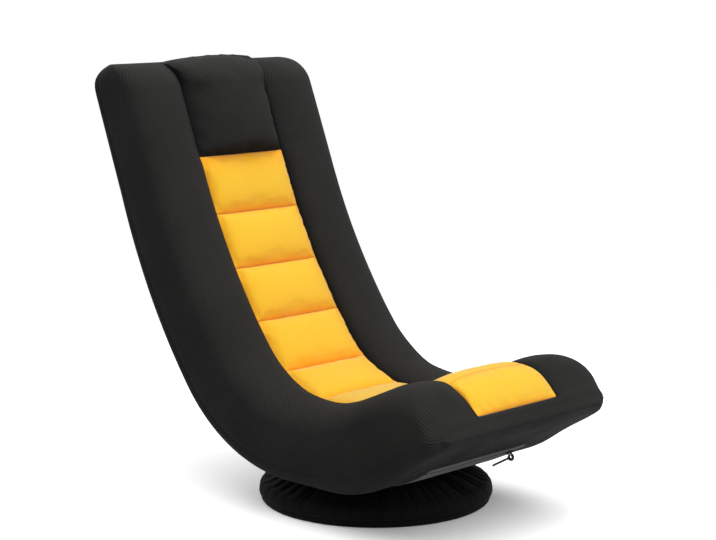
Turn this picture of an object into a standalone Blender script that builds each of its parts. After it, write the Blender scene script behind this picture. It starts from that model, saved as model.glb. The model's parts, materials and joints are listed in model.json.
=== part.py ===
"""Adjustable floor chair: a quilted pad over a folding steel frame, on a cloth-wrapped swivel base.

Units are metres with +Z up. The floor is Z = 0, the swivel axis is the Z axis and the chair faces -Y.
The sitting line runs from the top of the back, through the crook, to the front nose. It is measured by
arc length from the point over the swivel axis: forwards is positive, and up the back is negative.
"""

import math

import bmesh
import bpy
from mathutils import Matrix, Vector

# Pad outline
PAD_WIDTH = 0.46
PAD_THICKNESS = 0.118
TOP_THICKNESS = 0.110
CROOK_SWELL = 0.006
UNDERSIDE_Z = 0.066
BACK_TILT = math.radians(21.4)
BACK_STRAIGHT = 0.218
LUMBAR_RADIUS = 1.205
LUMBAR_TURN = math.radians(16.3)
CROOK_RADIUS = 0.209
SEAT_RISE = math.radians(22.5)
SEAT_RUN = 0.147
CREST_RADIUS = 0.085
FRONT_DROP = math.radians(42.2)
FRONT_RUN = 0.047
UNDER_FLAT = 0.094
UNDER_RADIUS = 0.245
UNDER_RISE = math.radians(34.7)
TOP_SKEW = 0.036
TOP_ROUND = 0.05
TOP_CORNER = 0.045
TOP_CORNER_INSET = 0.036
NOSE_CORNER = 0.022

# Side rolls, as heights over the sitting line
ROLL_BACK = 0.0275
ROLL_MIDDLE = 0.029
ROLL_BEND = 0.023
ROLL_DIP = 0.004
ROLL_DIP_ARC = 0.141
ROLL_CREST = 0.006
ROLL_FRONT = 0.017
ROLL_NOSE = 0.003
ROLL_WIDTH = 0.070
ROLL_DEPTH = 0.048
ROLL_FLANK = 0.75
REAR_ROUND = 0.030
SIDE_SWELL = 0.004

# Quilted centre strip and head pillow
STRIP_WIDTH = 0.206
GROOVE_DEPTH = 0.018
SEAM_DIP = 0.004
CHANNEL_CROWN = 0.016
CHANNEL_FULLNESS = 0.4
CREST_CROWN = 0.008
BACK_CHANNEL_COUNT = 3
BEND_CHANNEL_COUNT = 2
SEAT_CHANNEL_COUNT = 3
BACK_CHANNEL_PITCH = 0.107
SEAT_CHANNEL_PITCH = 0.1062
STRIP_TOP = 0.030
FRONT_CHANNEL = 0.074
NOSE_MARGIN = 0.0195
NOSE_STEP = 0.001
CUSHION_SIDE = 0.75
CHANNEL_EDGE = 1.0
PILLOW_EDGE = 2.0
PILLOW_CROWN = 0.044
PILLOW_RISE = 0.0095
PILLOW_ARCH = 0.016
PILLOW_TOP_SHARE = 0.30
PILLOW_LOW_SHARE = 0.90
PILLOW_FULLNESS = 0.6

# Grey cloth panels and the zip
PANEL_WIDTH = 0.25
PANEL_THICKNESS = 0.0015
PANEL_FRONT_INSET = 0.137
PANEL_TOP_INSET = 0.18
PANEL_CORNER = 0.055
PANEL_CORNER_RUN = 0.006
PANEL_STEP = 0.002
FACING_WIDTH = 0.010
FACING_MARGIN = 0.0015
ZIP_LENGTH = 0.22
ZIP_WIDTH = 0.007
ZIP_THICKNESS = 0.0022
SLIDER_LENGTH = 0.012
SLIDER_HEIGHT = 0.0028
SLIDER_LIP = 0.001
SLIDER_PARK = 0.012
BAIL_HEIGHT = 0.0042
BAIL_BAR = 0.0014
BAIL_WIDTH = 0.0020
PULL_LENGTH = 0.055
PULL_WIDTH = 0.010
PULL_THICKNESS = 0.0012
PULL_EYE = 0.014
PULL_RAIL = 0.0018

# Steel frame
TUBE_RADIUS = 0.010
TUBE_BEND = 0.045
SEAT_TUBE_REAR = 0.085
SEAT_TUBE_KNEE = 0.10
SEAT_TUBE_FRONT = 0.255
SEAT_TUBE_RISE = 0.090
CROSS_TUBE_Y = 0.060
BACK_TUBE_LOW_DEPTH = 0.050
BACK_TUBE_HIGH_DEPTH = 0.060
BACK_TUBE_TOP_INSET = 0.085
BACK_TUBE_INSET = 0.006
BACK_TUBE_CUT = 0.030
BACK_CROSS_SHARE = 0.10
STRAP_WIDTH = 0.050
STRAP_THICKNESS = 0.0020
STRAP_OVERHANG = 0.008
SEAT_STRAPS = 2
SEAT_STRAP_PITCH = 0.075
SEAT_STRAP_REAR = 0.030
BACK_STRAPS = 3

# Ratchet hinges at the crook
PIVOT_TURN = math.radians(39.0)
PIVOT_DEPTH = 0.032
HINGE_INSET = 0.055
LEAF_THICKNESS = 0.004
LEAF_RADIUS = 0.022
ARM_WIDTH = 0.028
BACK_ARM_LAP = 0.040
RATCHET_RADIUS = 0.026
RATCHET_TOOTH = 0.0035
RATCHET_TEETH = 10
RATCHET_PITCH = math.radians(14.0)
TOOTH_SHARE = 0.94
RIVET_RADIUS = 0.006
RIVET_HEAD_RADIUS = 0.010
RIVET_HEAD = 0.003
PAWL_HUB = 0.0058
PAWL_HUB_START = math.radians(75.0)
PAWL_HUB_SWEEP = math.radians(210.0)
PAWL_PIVOT_RADIUS = 0.040
PAWL_PIVOT_POLAR = math.radians(316.0)
PAWL_TIP_POLAR = math.radians(284.0)
PAWL_STUD = 0.0028
PAWL_TIP_CLEARANCE = 0.0008
BEND_CORE_RADIUS = 0.052
POCKET_RADIUS = 0.036
PAWL_POCKET_RADIUS = 0.013
BEND_DEPTH = 0.050
CORE_START_POLAR = math.radians(300.0)
LOBE_END_POLAR = math.radians(216.0)

# Swivel base
BASE_RADIUS = 0.207
RIM_HEIGHT = 0.034
RIM_WALL = 0.0075
RIM_BULGE = 0.014
RING_TUBE_RADIUS = 0.011
FLOOR_SHEET = 0.003
FLOOR_SHEET_LAP = 0.004
CROSS_BAR_WIDTH = 0.028
HUB_RADIUS = 0.078
BEARING_SIDE = 0.15
PLATE_THICKNESS = 0.0025
PLATE_CORNER = 0.015
BALL_DIAMETER = 0.009
BALL_COUNT = 8
BALL_CIRCLE = 0.056
CAGE_THICKNESS = 0.003
CAGE_WIDTH = 0.018
PIN_RADIUS = 0.008
PIN_HEAD_RADIUS = 0.014
PIN_HEAD = 0.004
SKIRT_NECK_RADIUS = 0.116
SKIRT_NECK_DROP = 0.004
SKIRT_THICKNESS = 0.003
SKIRT_BELLY = 0.006
SKIRT_FOLDS = 34
SKIRT_FOLD_DEPTH = 0.0055
SKIRT_FOLD_COLUMNS = (1.0, 0.5, 0.0, 0.5)

# Clearances and facets
GAP = 0.0003
RUN_GAP = 0.0006
CUT_CLEARANCE = 0.0006
CUT_OVERRUN = 0.01
TUBE_END_CLEARANCE = 0.004
TUBE_SIDES = 8
RING_SIDES = 40
CHANNEL_STEPS = (0.0, 0.12, 0.32, 0.5, 0.68, 0.88, 1.0)

# Places that follow from the sizes above
SEAT_Z = UNDERSIDE_Z + PAD_THICKNESS
CROOK_TURN = math.radians(90.0) - BACK_TILT - LUMBAR_TURN
STRIP_HALF = STRIP_WIDTH / 2
BACK_LEGS = (
    (CROOK_RADIUS * CROOK_TURN, CROOK_TURN),
    (LUMBAR_RADIUS * LUMBAR_TURN, LUMBAR_TURN),
    (BACK_STRAIGHT, 0.0),
)
SEAT_LEGS = (
    (CROOK_RADIUS * SEAT_RISE, SEAT_RISE),
    (SEAT_RUN, 0.0),
    (CREST_RADIUS * (SEAT_RISE + FRONT_DROP), -(SEAT_RISE + FRONT_DROP)),
    (FRONT_RUN, 0.0),
)
LUMBAR_TOP = BACK_LEGS[0][0] + BACK_LEGS[1][0]
BACK_LENGTH = LUMBAR_TOP + BACK_STRAIGHT
SEAT_LENGTH = sum(length for length, _ in SEAT_LEGS)
UNDER_ARC = UNDER_RADIUS * UNDER_RISE
UNDER_LEGS = (
    (UNDER_FLAT, 0.0),
    (UNDER_ARC, UNDER_RISE),
    (SEAT_LENGTH - UNDER_FLAT - UNDER_ARC, 0.0),
)
STRIP_START = -(LUMBAR_TOP + STRIP_TOP)
STRIP_END = SEAT_LENGTH - NOSE_MARGIN
FRONT_SEAM = STRIP_END - FRONT_CHANNEL
UPPER_COUNT = BACK_CHANNEL_COUNT + BEND_CHANNEL_COUNT
CHANNEL_COUNT = UPPER_COUNT + SEAT_CHANNEL_COUNT
SEAMS = [STRIP_START + BACK_CHANNEL_PITCH * i for i in range(UPPER_COUNT)]
SEAMS += [FRONT_SEAM - SEAT_CHANNEL_PITCH * i for i in range(SEAT_CHANNEL_COUNT, -1, -1)]
SEAMS += [STRIP_END]
BACK_SPLIT = SEAMS[BACK_CHANNEL_COUNT]
SEAT_SPLIT = SEAMS[UPPER_COUNT]
CREST_ARC = CROOK_RADIUS * SEAT_RISE + SEAT_RUN + CREST_RADIUS * SEAT_RISE / 2
ROLL_STATIONS = (
    (BACK_SPLIT, ROLL_BACK),
    ((BACK_SPLIT + SEAT_SPLIT) / 2, ROLL_MIDDLE),
    (SEAT_SPLIT, ROLL_BEND),
    (ROLL_DIP_ARC, ROLL_DIP),
    (CREST_ARC, ROLL_CREST),
    (FRONT_SEAM + FRONT_CHANNEL / 2, ROLL_FRONT),
    (SEAT_LENGTH, ROLL_NOSE),
)
PIVOT_Y = (CROOK_RADIUS + PIVOT_DEPTH) * math.sin(PIVOT_TURN)
PIVOT_Z = SEAT_Z + CROOK_RADIUS - (CROOK_RADIUS + PIVOT_DEPTH) * math.cos(PIVOT_TURN)
HINGE_X = PAD_WIDTH / 2 - HINGE_INSET
SEAT_TUBE_X = HINGE_X - GAP / 2 - LEAF_THICKNESS - GAP - TUBE_RADIUS
BACK_TUBE_X = HINGE_X + GAP / 2 + LEAF_THICKNESS + GAP + TUBE_RADIUS
UPPER_PLATE_TOP = UNDERSIDE_Z - GAP
CROSS_TUBE_Z = UPPER_PLATE_TOP + GAP + TUBE_RADIUS
SEAT_TUBE_Z = CROSS_TUBE_Z + GAP + 2 * TUBE_RADIUS
UPPER_PLATE_BOTTOM = UPPER_PLATE_TOP - PLATE_THICKNESS
BALL_Z = UPPER_PLATE_BOTTOM - GAP - BALL_DIAMETER / 2
LOWER_PLATE_TOP = BALL_Z - BALL_DIAMETER / 2 - GAP
HUB_TOP = LOWER_PLATE_TOP - PLATE_THICKNESS - GAP
RING_RADIUS = BASE_RADIUS - RIM_WALL - RING_TUBE_RADIUS
RING_Z = FLOOR_SHEET + GAP + RING_TUBE_RADIUS
CROSS_TOP = RING_Z + RING_TUBE_RADIUS
HUB_BOTTOM = CROSS_TOP + GAP
SKIRT_TOP = UNDERSIDE_Z - SKIRT_NECK_DROP
ZIP_ARC = SEAT_LENGTH - PANEL_FRONT_INSET
FACING_ARC = ZIP_ARC + ZIP_WIDTH + FACING_MARGIN
SLIDER_X = ZIP_LENGTH / 2 - SLIDER_LENGTH / 2 - SLIDER_PARK
BAIL_EYE = GAP + ZIP_THICKNESS + GAP + SLIDER_HEIGHT + (BAIL_HEIGHT - BAIL_BAR) / 2


def clear_scene():
    for obj in list(bpy.data.objects):
        bpy.data.objects.remove(obj, do_unlink=True)


def finish(name, colour, roughness, metallic=0.0):
    material = bpy.data.materials.new(name)
    material.use_nodes = True
    shader = material.node_tree.nodes["Principled BSDF"]
    shader.inputs["Base Color"].default_value = (*colour, 1.0)
    shader.inputs["Roughness"].default_value = roughness
    shader.inputs["Metallic"].default_value = metallic
    material.diffuse_color = (*colour, 1.0)
    return material


def make_finishes():
    return {
        "black_mesh": finish("black_mesh", (0.020, 0.020, 0.019), 0.85),
        "yellow_mesh": finish("yellow_mesh", (0.93, 0.50, 0.03), 0.75),
        "grey_cloth": finish("grey_cloth", (0.16, 0.165, 0.18), 0.8),
        "skirt_cloth": finish("skirt_cloth", (0.012, 0.012, 0.012), 0.8),
        "frame_paint": finish("frame_paint", (0.03, 0.03, 0.032), 0.45, 0.3),
        "zinc_steel": finish("zinc_steel", (0.55, 0.56, 0.58), 0.35, 1.0),
        "webbing": finish("webbing", (0.10, 0.10, 0.11), 0.9),
        "rubber": finish("rubber", (0.02, 0.02, 0.02), 0.9),
        "zip_metal": finish("zip_metal", (0.08, 0.08, 0.085), 0.4, 0.8),
    }


def pivot_empty(name, place, parent=None):
    """An empty on a joint's axis. Meshes hold world places, so what it carries is shifted back."""
    empty = bpy.data.objects.new(name, None)
    bpy.context.scene.collection.objects.link(empty)
    empty.empty_display_size = 0.03
    empty.location = place
    if parent is not None:
        empty.parent = parent
        empty.matrix_parent_inverse = Matrix.Translation(-Vector(parent.location))
    return empty


def place_mesh(name, mesh, material, parent):
    obj = bpy.data.objects.new(name, mesh)
    bpy.context.scene.collection.objects.link(obj)
    mesh.materials.append(material)
    obj.parent = parent
    obj.matrix_parent_inverse = Matrix.Translation(-Vector(parent.location))
    return obj


def mesh_of(name, points, faces, smooth_angle=None):
    mesh = bpy.data.meshes.new(name)
    mesh.from_pydata([tuple(point) for point in points], [], faces)
    shell = bmesh.new()
    shell.from_mesh(mesh)
    bmesh.ops.recalc_face_normals(shell, faces=shell.faces)
    shell.to_mesh(mesh)
    shell.free()
    if smooth_angle is not None:
        mesh.shade_smooth()
        mesh.set_sharp_from_angle(angle=math.radians(smooth_angle))
    return mesh


def loft(name, rings, closed=False, smooth_angle=40.0):
    """Bridges rings of equal length. An open run of rings gets a flat cap at each end."""
    size = len(rings[0])
    points = [point for ring in rings for point in ring]
    faces = []
    spans = len(rings) if closed else len(rings) - 1
    for row in range(spans):
        low = row * size
        high = ((row + 1) % len(rings)) * size
        for k in range(size):
            after = (k + 1) % size
            faces.append((low + k, low + after, high + after, high + k))
    if not closed:
        faces.append(tuple(range(size)))
        faces.append(tuple(range((len(rings) - 1) * size, len(rings) * size)))
    return mesh_of(name, points, faces, smooth_angle)


def prism(name, outline, low, high, axis="X", smooth_angle=None):
    """Extrudes a flat outline. Along X the outline is in (Y, Z), and along Z it is in (X, Y)."""
    if axis == "X":
        rings = [[(at, a, b) for a, b in outline] for at in (low, high)]
    else:
        rings = [[(a, b, at) for a, b in outline] for at in (low, high)]
    return loft(name, rings, smooth_angle=smooth_angle)


def circle(centre, radius, sides, turn=0.0):
    steps = (turn + 2 * math.pi * k / sides for k in range(sides))
    return [(centre[0] + radius * math.cos(a), centre[1] + radius * math.sin(a)) for a in steps]


def turned(name, profile, sides=RING_SIDES, closed=True):
    """Turns a profile of (radius, height) points round the Z axis."""
    rings = []
    for k in range(sides):
        angle = 2 * math.pi * k / sides
        rings.append([(r * math.cos(angle), r * math.sin(angle), z) for r, z in profile])
    return loft(name, rings, closed=closed, smooth_angle=35.0)


def rounded_route(corners, bend, steps=5):
    """Corner points of a bent tube, with each inner corner replaced by an arc of the bend radius."""
    route = [Vector(corners[0])]
    for before, at, after in zip(corners, corners[1:], corners[2:]):
        corner = Vector(at)
        back = (Vector(before) - corner).normalized()
        ahead = (Vector(after) - corner).normalized()
        half = back.angle(ahead) / 2
        reach = bend / math.tan(half)
        middle = (back + ahead).normalized()
        centre = corner + middle * (bend / math.sin(half))
        start = corner + back * reach - centre
        end = corner + ahead * reach - centre
        sweep = start.angle(end)
        for k in range(steps + 1):
            share = k / steps
            weight_start = math.sin((1 - share) * sweep) / math.sin(sweep)
            weight_end = math.sin(share * sweep) / math.sin(sweep)
            route.append(centre + start * weight_start + end * weight_end)
    route.append(Vector(corners[-1]))
    return route


def tube(name, route, radius, sides=TUBE_SIDES):
    """A round bar along a route, with mitred rings."""
    rings = []
    heading = (route[1] - route[0]).normalized()
    side = heading.orthogonal().normalized()
    for k, point in enumerate(route):
        into = (point - route[k - 1]).normalized() if k else heading
        out = (route[k + 1] - point).normalized() if k + 1 < len(route) else into
        side = (side - into * side.dot(into)).normalized()
        up = into.cross(side)
        mitre = (into + out).normalized()
        ring = []
        for a, b in circle((0.0, 0.0), radius, sides):
            spoke = side * a + up * b
            slide = -spoke.dot(mitre) / into.dot(mitre)
            ring.append(point + spoke + into * slide)
        rings.append(ring)
        side = (side - out * side.dot(out)).normalized()
    return loft(name, rings, smooth_angle=50.0)


def cutter(name, mesh):
    obj = bpy.data.objects.new(name, mesh)
    bpy.context.scene.collection.objects.link(obj)
    obj.hide_render = True
    obj.display_type = "WIRE"
    return obj


def carve(obj, other, operation="DIFFERENCE"):
    modifier = obj.modifiers.new(other.name, "BOOLEAN")
    modifier.object = other
    modifier.operation = operation
    modifier.solver = "EXACT"


def path_point(legs, arc):
    """The place after an arc length along lines and arcs: (distance along, rise, slope)."""
    along = rise = slope = 0.0
    left = arc
    for index, (length, turn) in enumerate(legs):
        step = left if index + 1 == len(legs) else min(left, length)
        if turn:
            radius = length / turn
            end = slope + step / radius
            along += radius * (math.sin(end) - math.sin(slope))
            rise += radius * (math.cos(slope) - math.cos(end))
            slope = end
        else:
            along += step * math.cos(slope)
            rise += step * math.sin(slope)
        left -= step
        if left <= 0:
            break
    return along, rise, slope


def station(arc):
    """The sitting point and the outer point of the pad at an arc length, each as (Y, Z)."""
    if arc >= 0:
        along, rise, _ = path_point(SEAT_LEGS, arc)
        under, lift, _ = path_point(UNDER_LEGS, arc)
        return (-along, SEAT_Z + rise), (-under, UNDERSIDE_Z + lift)
    along, rise, slope = path_point(BACK_LEGS, -arc)
    share = -arc / BACK_LENGTH
    thick = PAD_THICKNESS + (TOP_THICKNESS - PAD_THICKNESS) * share
    thick += CROOK_SWELL * math.sin(math.pi * min(1.0, -arc / LUMBAR_TOP))
    skew = TOP_SKEW * max(0.0, (-arc - LUMBAR_TOP) / BACK_STRAIGHT)
    front = (along, SEAT_Z + rise)
    outer_y = front[0] + thick * math.sin(slope) + skew * math.cos(slope)
    outer_z = front[1] - thick * math.cos(slope) + skew * math.sin(slope)
    return front, (outer_y, outer_z)


def at_depth(arc, depth):
    """The (Y, Z) place at a depth below the sitting line."""
    front, outer = station(arc)
    thick = math.dist(front, outer)
    share = depth / thick
    return (front[0] + (outer[0] - front[0]) * share, front[1] + (outer[1] - front[1]) * share)


def ease(value):
    value = min(1.0, max(0.0, value))
    return value * value * (3 - 2 * value)


def roll_height(arc):
    """Height of the side rolls over the sitting line, eased from one roll station to the next."""
    if arc <= BACK_SPLIT:
        return ROLL_BACK
    for (low, height), (high, after) in zip(ROLL_STATIONS, ROLL_STATIONS[1:]):
        if arc <= high:
            return height + (after - height) * ease((arc - low) / (high - low))
    return ROLL_NOSE


def end_round(arc, length, radius):
    """How much of a full section is left near an end, from 1 down to a fifth, on a quarter ellipse."""
    into = (arc - (length - radius)) / radius
    if into <= 0:
        return 1.0
    return math.sqrt(max(0.04, 1 - into * into))


def section(arc, grooved=True):
    """One ring of the pad, as 3-D points: groove, side roll, side, rear and round to the other side."""
    front, outer = station(arc)
    thick = math.dist(front, outer)
    left = end_round(-arc, BACK_LENGTH, TOP_ROUND)
    half = PAD_WIDTH / 2
    half -= TOP_CORNER_INSET * (1 - end_round(-arc, BACK_LENGTH, TOP_CORNER))
    half -= NOSE_CORNER * (1 - end_round(arc, SEAT_LENGTH, NOSE_CORNER))
    fit = min(1.0, thick / PAD_THICKNESS)
    height = roll_height(arc)
    depth = ROLL_DEPTH * fit
    rear = REAR_ROUND * fit
    crest = half - ROLL_WIDTH
    floor = GROOVE_DEPTH if grooved else SEAM_DIP + GAP
    corner = STRIP_HALF if grooved else STRIP_HALF - SEAM_DIP
    line = [(0.0, floor), (corner, floor), (STRIP_HALF, SEAM_DIP)]
    for k in (1, 2, 3):
        angle = k / 3 * math.pi / 2
        across = (crest - STRIP_HALF) * (1 - math.cos(angle)) ** ROLL_FLANK
        line.append((STRIP_HALF + across, SEAM_DIP - (SEAM_DIP + height) * math.sin(angle)))
    for k in (1, 2, 3, 4):
        angle = k / 4 * math.pi / 2
        line.append((crest + ROLL_WIDTH * math.sin(angle), depth * (1 - math.cos(angle)) - height))
    line.append((half + SIDE_SWELL * fit, (depth - height + thick - rear) / 2))
    for k in (0, 1, 2, 3):
        angle = k / 3 * math.pi / 2
        line.append((half - rear * (1 - math.cos(angle)), thick - rear * (1 - math.sin(angle))))
    line.append((0.0, thick))
    line = [(x, thick / 2 + (v - thick / 2) * left) for x, v in line]
    return ring_of(line, front, outer)


def ring_of(line, front, outer):
    """Mirrors a half section of (x, depth) points and sets it in the station's plane."""
    thick = math.dist(front, outer)
    down = ((outer[0] - front[0]) / thick, (outer[1] - front[1]) / thick)
    both = line + [(-x, v) for x, v in reversed(line) if x > 0]
    return [(x, front[0] + down[0] * v, front[1] + down[1] * v) for x, v in both]


def channel_arcs(index):
    start, end = SEAMS[index], SEAMS[index + 1]
    return [start + (end - start) * share for share in CHANNEL_STEPS]


def pad_arcs(first, last):
    """Stations of the pad between two seams, given by number, kept the same as the channels' stations."""
    arcs = []
    for index in range(first, last):
        arcs += channel_arcs(index)[:-1]
    return arcs + [SEAMS[last]]


def head_arcs():
    """Stations of the head end, from the top down to the strip."""
    straight_end = -(BACK_LENGTH - TOP_ROUND)
    rounds = [-(BACK_LENGTH - TOP_ROUND * (1 - math.sin(k / 5 * math.pi / 2))) for k in (5, 4, 3, 2, 1)]
    plain = [straight_end + (STRIP_START - straight_end) * k / 5 for k in range(5)]
    return rounds + plain


def arm_line(polar, reach):
    """A point at a polar angle round the hinge: 0 is forwards, a quarter turn is up."""
    return (PIVOT_Y - reach * math.cos(polar), PIVOT_Z + reach * math.sin(polar))


def seat_arm_end():
    return (SEAT_TUBE_REAR, SEAT_TUBE_Z)


def back_tube_ends():
    low = at_depth(BACK_SPLIT, BACK_TUBE_LOW_DEPTH)
    high = at_depth(-(BACK_LENGTH - BACK_TUBE_TOP_INSET), BACK_TUBE_HIGH_DEPTH)
    return low, high


def back_arm_end():
    low, high = back_tube_ends()
    share = BACK_ARM_LAP / math.dist(low, high)
    return (low[0] + (high[0] - low[0]) * share, low[1] + (high[1] - low[1]) * share)


def leaf_outline(end, radius, width, teeth=0, grow=0.0):
    """A round hinge leaf with an arm to an end point. Teeth are saw cuts opposite the arm."""
    across, up = end[0] - PIVOT_Y, end[1] - PIVOT_Z
    reach = math.hypot(across, up)
    aim = math.atan2(up, across)
    half = width / 2 + grow
    rim = radius + grow
    spread = math.asin(half / rim)
    points = []
    angles = [aim + spread + (2 * math.pi - 2 * spread) * k / 24 for k in range(25)]
    if teeth:
        first = aim + math.pi - RATCHET_PITCH * teeth / 2
        plain_before = [a for a in angles if a < first - 0.02]
        plain_after = [a for a in angles if a > first + RATCHET_PITCH * teeth + 0.02]
        points += [(rim * math.cos(a), rim * math.sin(a)) for a in plain_before]
        for k in range(teeth):
            low, high = first + RATCHET_PITCH * k, first + RATCHET_PITCH * (k + TOOTH_SHARE)
            points.append((rim * math.cos(low), rim * math.sin(low)))
            points.append(((rim - RATCHET_TOOTH) * math.cos(high), (rim - RATCHET_TOOTH) * math.sin(high)))
        points += [(rim * math.cos(a), rim * math.sin(a)) for a in plain_after]
    else:
        points += [(rim * math.cos(a), rim * math.sin(a)) for a in angles]
    for k in range(7):
        angle = aim - math.pi / 2 + math.pi * k / 6
        points.append((reach * math.cos(aim) + half * math.cos(angle),
                       reach * math.sin(aim) + half * math.sin(angle)))
    return [(PIVOT_Y + y, PIVOT_Z + z) for y, z in points]


def bend_outline(grow):
    """Side outline of the foam that gives at the crook: inner wedge, core round the hinge pin, rear wedge.

    A positive grow makes the cut in the seat foam, and a negative one the piece that fills it.
    """
    lobe_end = LOBE_END_POLAR + grow / BEND_CORE_RADIUS
    core = [arm_line(CORE_START_POLAR + (lobe_end - CORE_START_POLAR) * k / 6, BEND_CORE_RADIUS + grow)
            for k in range(7)]
    return [
        at_depth(SEAT_SPLIT + grow, -PAD_THICKNESS),
        at_depth(SEAT_SPLIT + grow, BEND_DEPTH + grow),
        *core,
        arm_line(lobe_end, PAD_WIDTH),
        at_depth(BACK_SPLIT - grow, 2 * PAD_THICKNESS),
        at_depth(BACK_SPLIT - grow, -PAD_THICKNESS),
    ]


def make_base(finishes, base):
    sheet_radius = RING_RADIUS - FLOOR_SHEET_LAP
    sheet = prism("floor_sheet", circle((0, 0), sheet_radius, RING_SIDES), 0.0, FLOOR_SHEET, "Z")
    place_mesh("floor_sheet", sheet, finishes["rubber"], base)
    ring = turned("base_ring", circle((RING_RADIUS, RING_Z), RING_TUBE_RADIUS, TUBE_SIDES))
    place_mesh("base_ring", ring, finishes["frame_paint"], base)
    make_cross(finishes, base)
    make_rim(finishes, base)
    make_skirt(finishes, base)
    make_bearing_base(finishes, base)


def make_cross(finishes, base):
    half = CROSS_BAR_WIDTH / 2
    inside = (RING_RADIUS - RING_TUBE_RADIUS) * math.cos(math.pi / RING_SIDES) - GAP
    reach = math.sqrt(inside ** 2 - half ** 2)
    outline = []
    for quarter in range(4):
        turn = Matrix.Rotation(quarter * math.pi / 2, 2)
        outline += [tuple(turn @ Vector(c)) for c in ((reach, -half), (reach, half), (half, half))]
    cross = prism("base_cross", outline, FLOOR_SHEET + GAP, CROSS_TOP, "Z")
    place_mesh("base_cross", cross, finishes["frame_paint"], base)


def make_rim(finishes, base):
    """Padded cloth rim: a turned band whose inner side follows the steel ring."""
    inner = (RING_TUBE_RADIUS + RUN_GAP) / math.cos(math.pi / TUBE_SIDES) ** 0.5
    mid = RIM_HEIGHT / 2
    inside = RING_RADIUS - FLOOR_SHEET_LAP
    profile = []
    for k in range(7):
        angle = math.pi * (0.5 - k / 6)
        profile.append((BASE_RADIUS - RIM_BULGE + RIM_BULGE * math.cos(angle), mid + mid * math.sin(angle)))
    profile.append((inside + RUN_GAP, GAP))
    profile.append((inside + RUN_GAP, RING_Z - inner - GAP))
    for k in range(6):
        angle = math.pi * (k / 5 - 0.5)
        profile.append((RING_RADIUS + inner * math.cos(angle), RING_Z + inner * math.sin(angle)))
    profile.append((inside, RIM_HEIGHT - RIM_WALL / 2))
    profile.append((inside, RIM_HEIGHT))
    place_mesh("base_rim_cover", turned("base_rim_cover", profile), finishes["skirt_cloth"], base)


def make_skirt(finishes, base):
    """Gathered cloth cone from the rim to the neck under the seat, with radial folds."""
    low_radius = BASE_RADIUS - RIM_BULGE
    low_z = RIM_HEIGHT + GAP
    rise = SKIRT_TOP - low_z - SKIRT_THICKNESS
    rows = (0.0, 0.3, 0.65, 1.0)
    rings = []
    columns = SKIRT_FOLDS * len(SKIRT_FOLD_COLUMNS)
    for k in range(columns):
        angle = 2 * math.pi * k / columns
        wave = SKIRT_FOLD_COLUMNS[k % len(SKIRT_FOLD_COLUMNS)]
        outer = []
        for share in rows:
            radius = low_radius + (SKIRT_NECK_RADIUS - low_radius) * share
            height = low_z + SKIRT_THICKNESS + rise * share + SKIRT_BELLY * math.sin(math.pi * share)
            drop = SKIRT_FOLD_DEPTH * wave * math.sin(math.pi * min(1.0, 0.1 + 0.75 * share))
            outer.append((radius - drop / 2, min(SKIRT_TOP, height) - drop))
        inner = [(radius - SKIRT_THICKNESS, max(low_z, height - SKIRT_THICKNESS))
                 for radius, height in (outer[0], outer[2], outer[3])]
        profile = outer + list(reversed(inner))
        rings.append([(r * math.cos(angle), r * math.sin(angle), z) for r, z in profile])
    place_mesh("base_skirt", loft("base_skirt", rings, closed=True, smooth_angle=70.0),
               finishes["skirt_cloth"], base)


def rounded_square(side, corner):
    half = side / 2 - corner
    outline = []
    for quarter, (cx, cy) in enumerate(((half, half), (-half, half), (-half, -half), (half, -half))):
        for k in range(4):
            angle = math.pi / 2 * (quarter + k / 3)
            outline.append((cx + corner * math.cos(angle), cy + corner * math.sin(angle)))
    return outline


def make_bearing_base(finishes, base):
    hub = prism("base_hub", circle((0, 0), HUB_RADIUS, 28), HUB_BOTTOM, HUB_TOP, "Z", 35.0)
    hub = place_mesh("base_hub", hub, finishes["frame_paint"], base)
    bore = circle((0, 0), PIN_HEAD_RADIUS + RUN_GAP, 16)
    bore = prism("hub_bore", bore, HUB_BOTTOM - CUT_OVERRUN, HUB_TOP + CUT_OVERRUN, "Z")
    carve(hub, cutter("hub_bore", bore))
    lower = prism("bearing_lower_plate", rounded_square(BEARING_SIDE, PLATE_CORNER),
                  LOWER_PLATE_TOP - PLATE_THICKNESS, LOWER_PLATE_TOP, "Z")
    lower = place_mesh("bearing_lower_plate", lower, finishes["zinc_steel"], base)
    hole = circle((0, 0), PIN_RADIUS + GAP, 16)
    hole = prism("plate_hole", hole, HUB_BOTTOM, UNDERSIDE_Z + CUT_OVERRUN, "Z")
    carve(lower, cutter("plate_hole", hole))
    make_ball_cage(finishes, base)
    pin_top = UPPER_PLATE_TOP
    head_top = LOWER_PLATE_TOP - PLATE_THICKNESS - GAP
    profile = [(PIN_RADIUS, pin_top), (PIN_RADIUS, head_top), (PIN_HEAD_RADIUS, head_top),
               (PIN_HEAD_RADIUS, head_top - PIN_HEAD)]
    rings = [[(x, y, z) for x, y in circle((0, 0), r, 16)] for r, z in profile]
    place_mesh("swivel_pin", loft("swivel_pin", rings), finishes["zinc_steel"], base)


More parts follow.
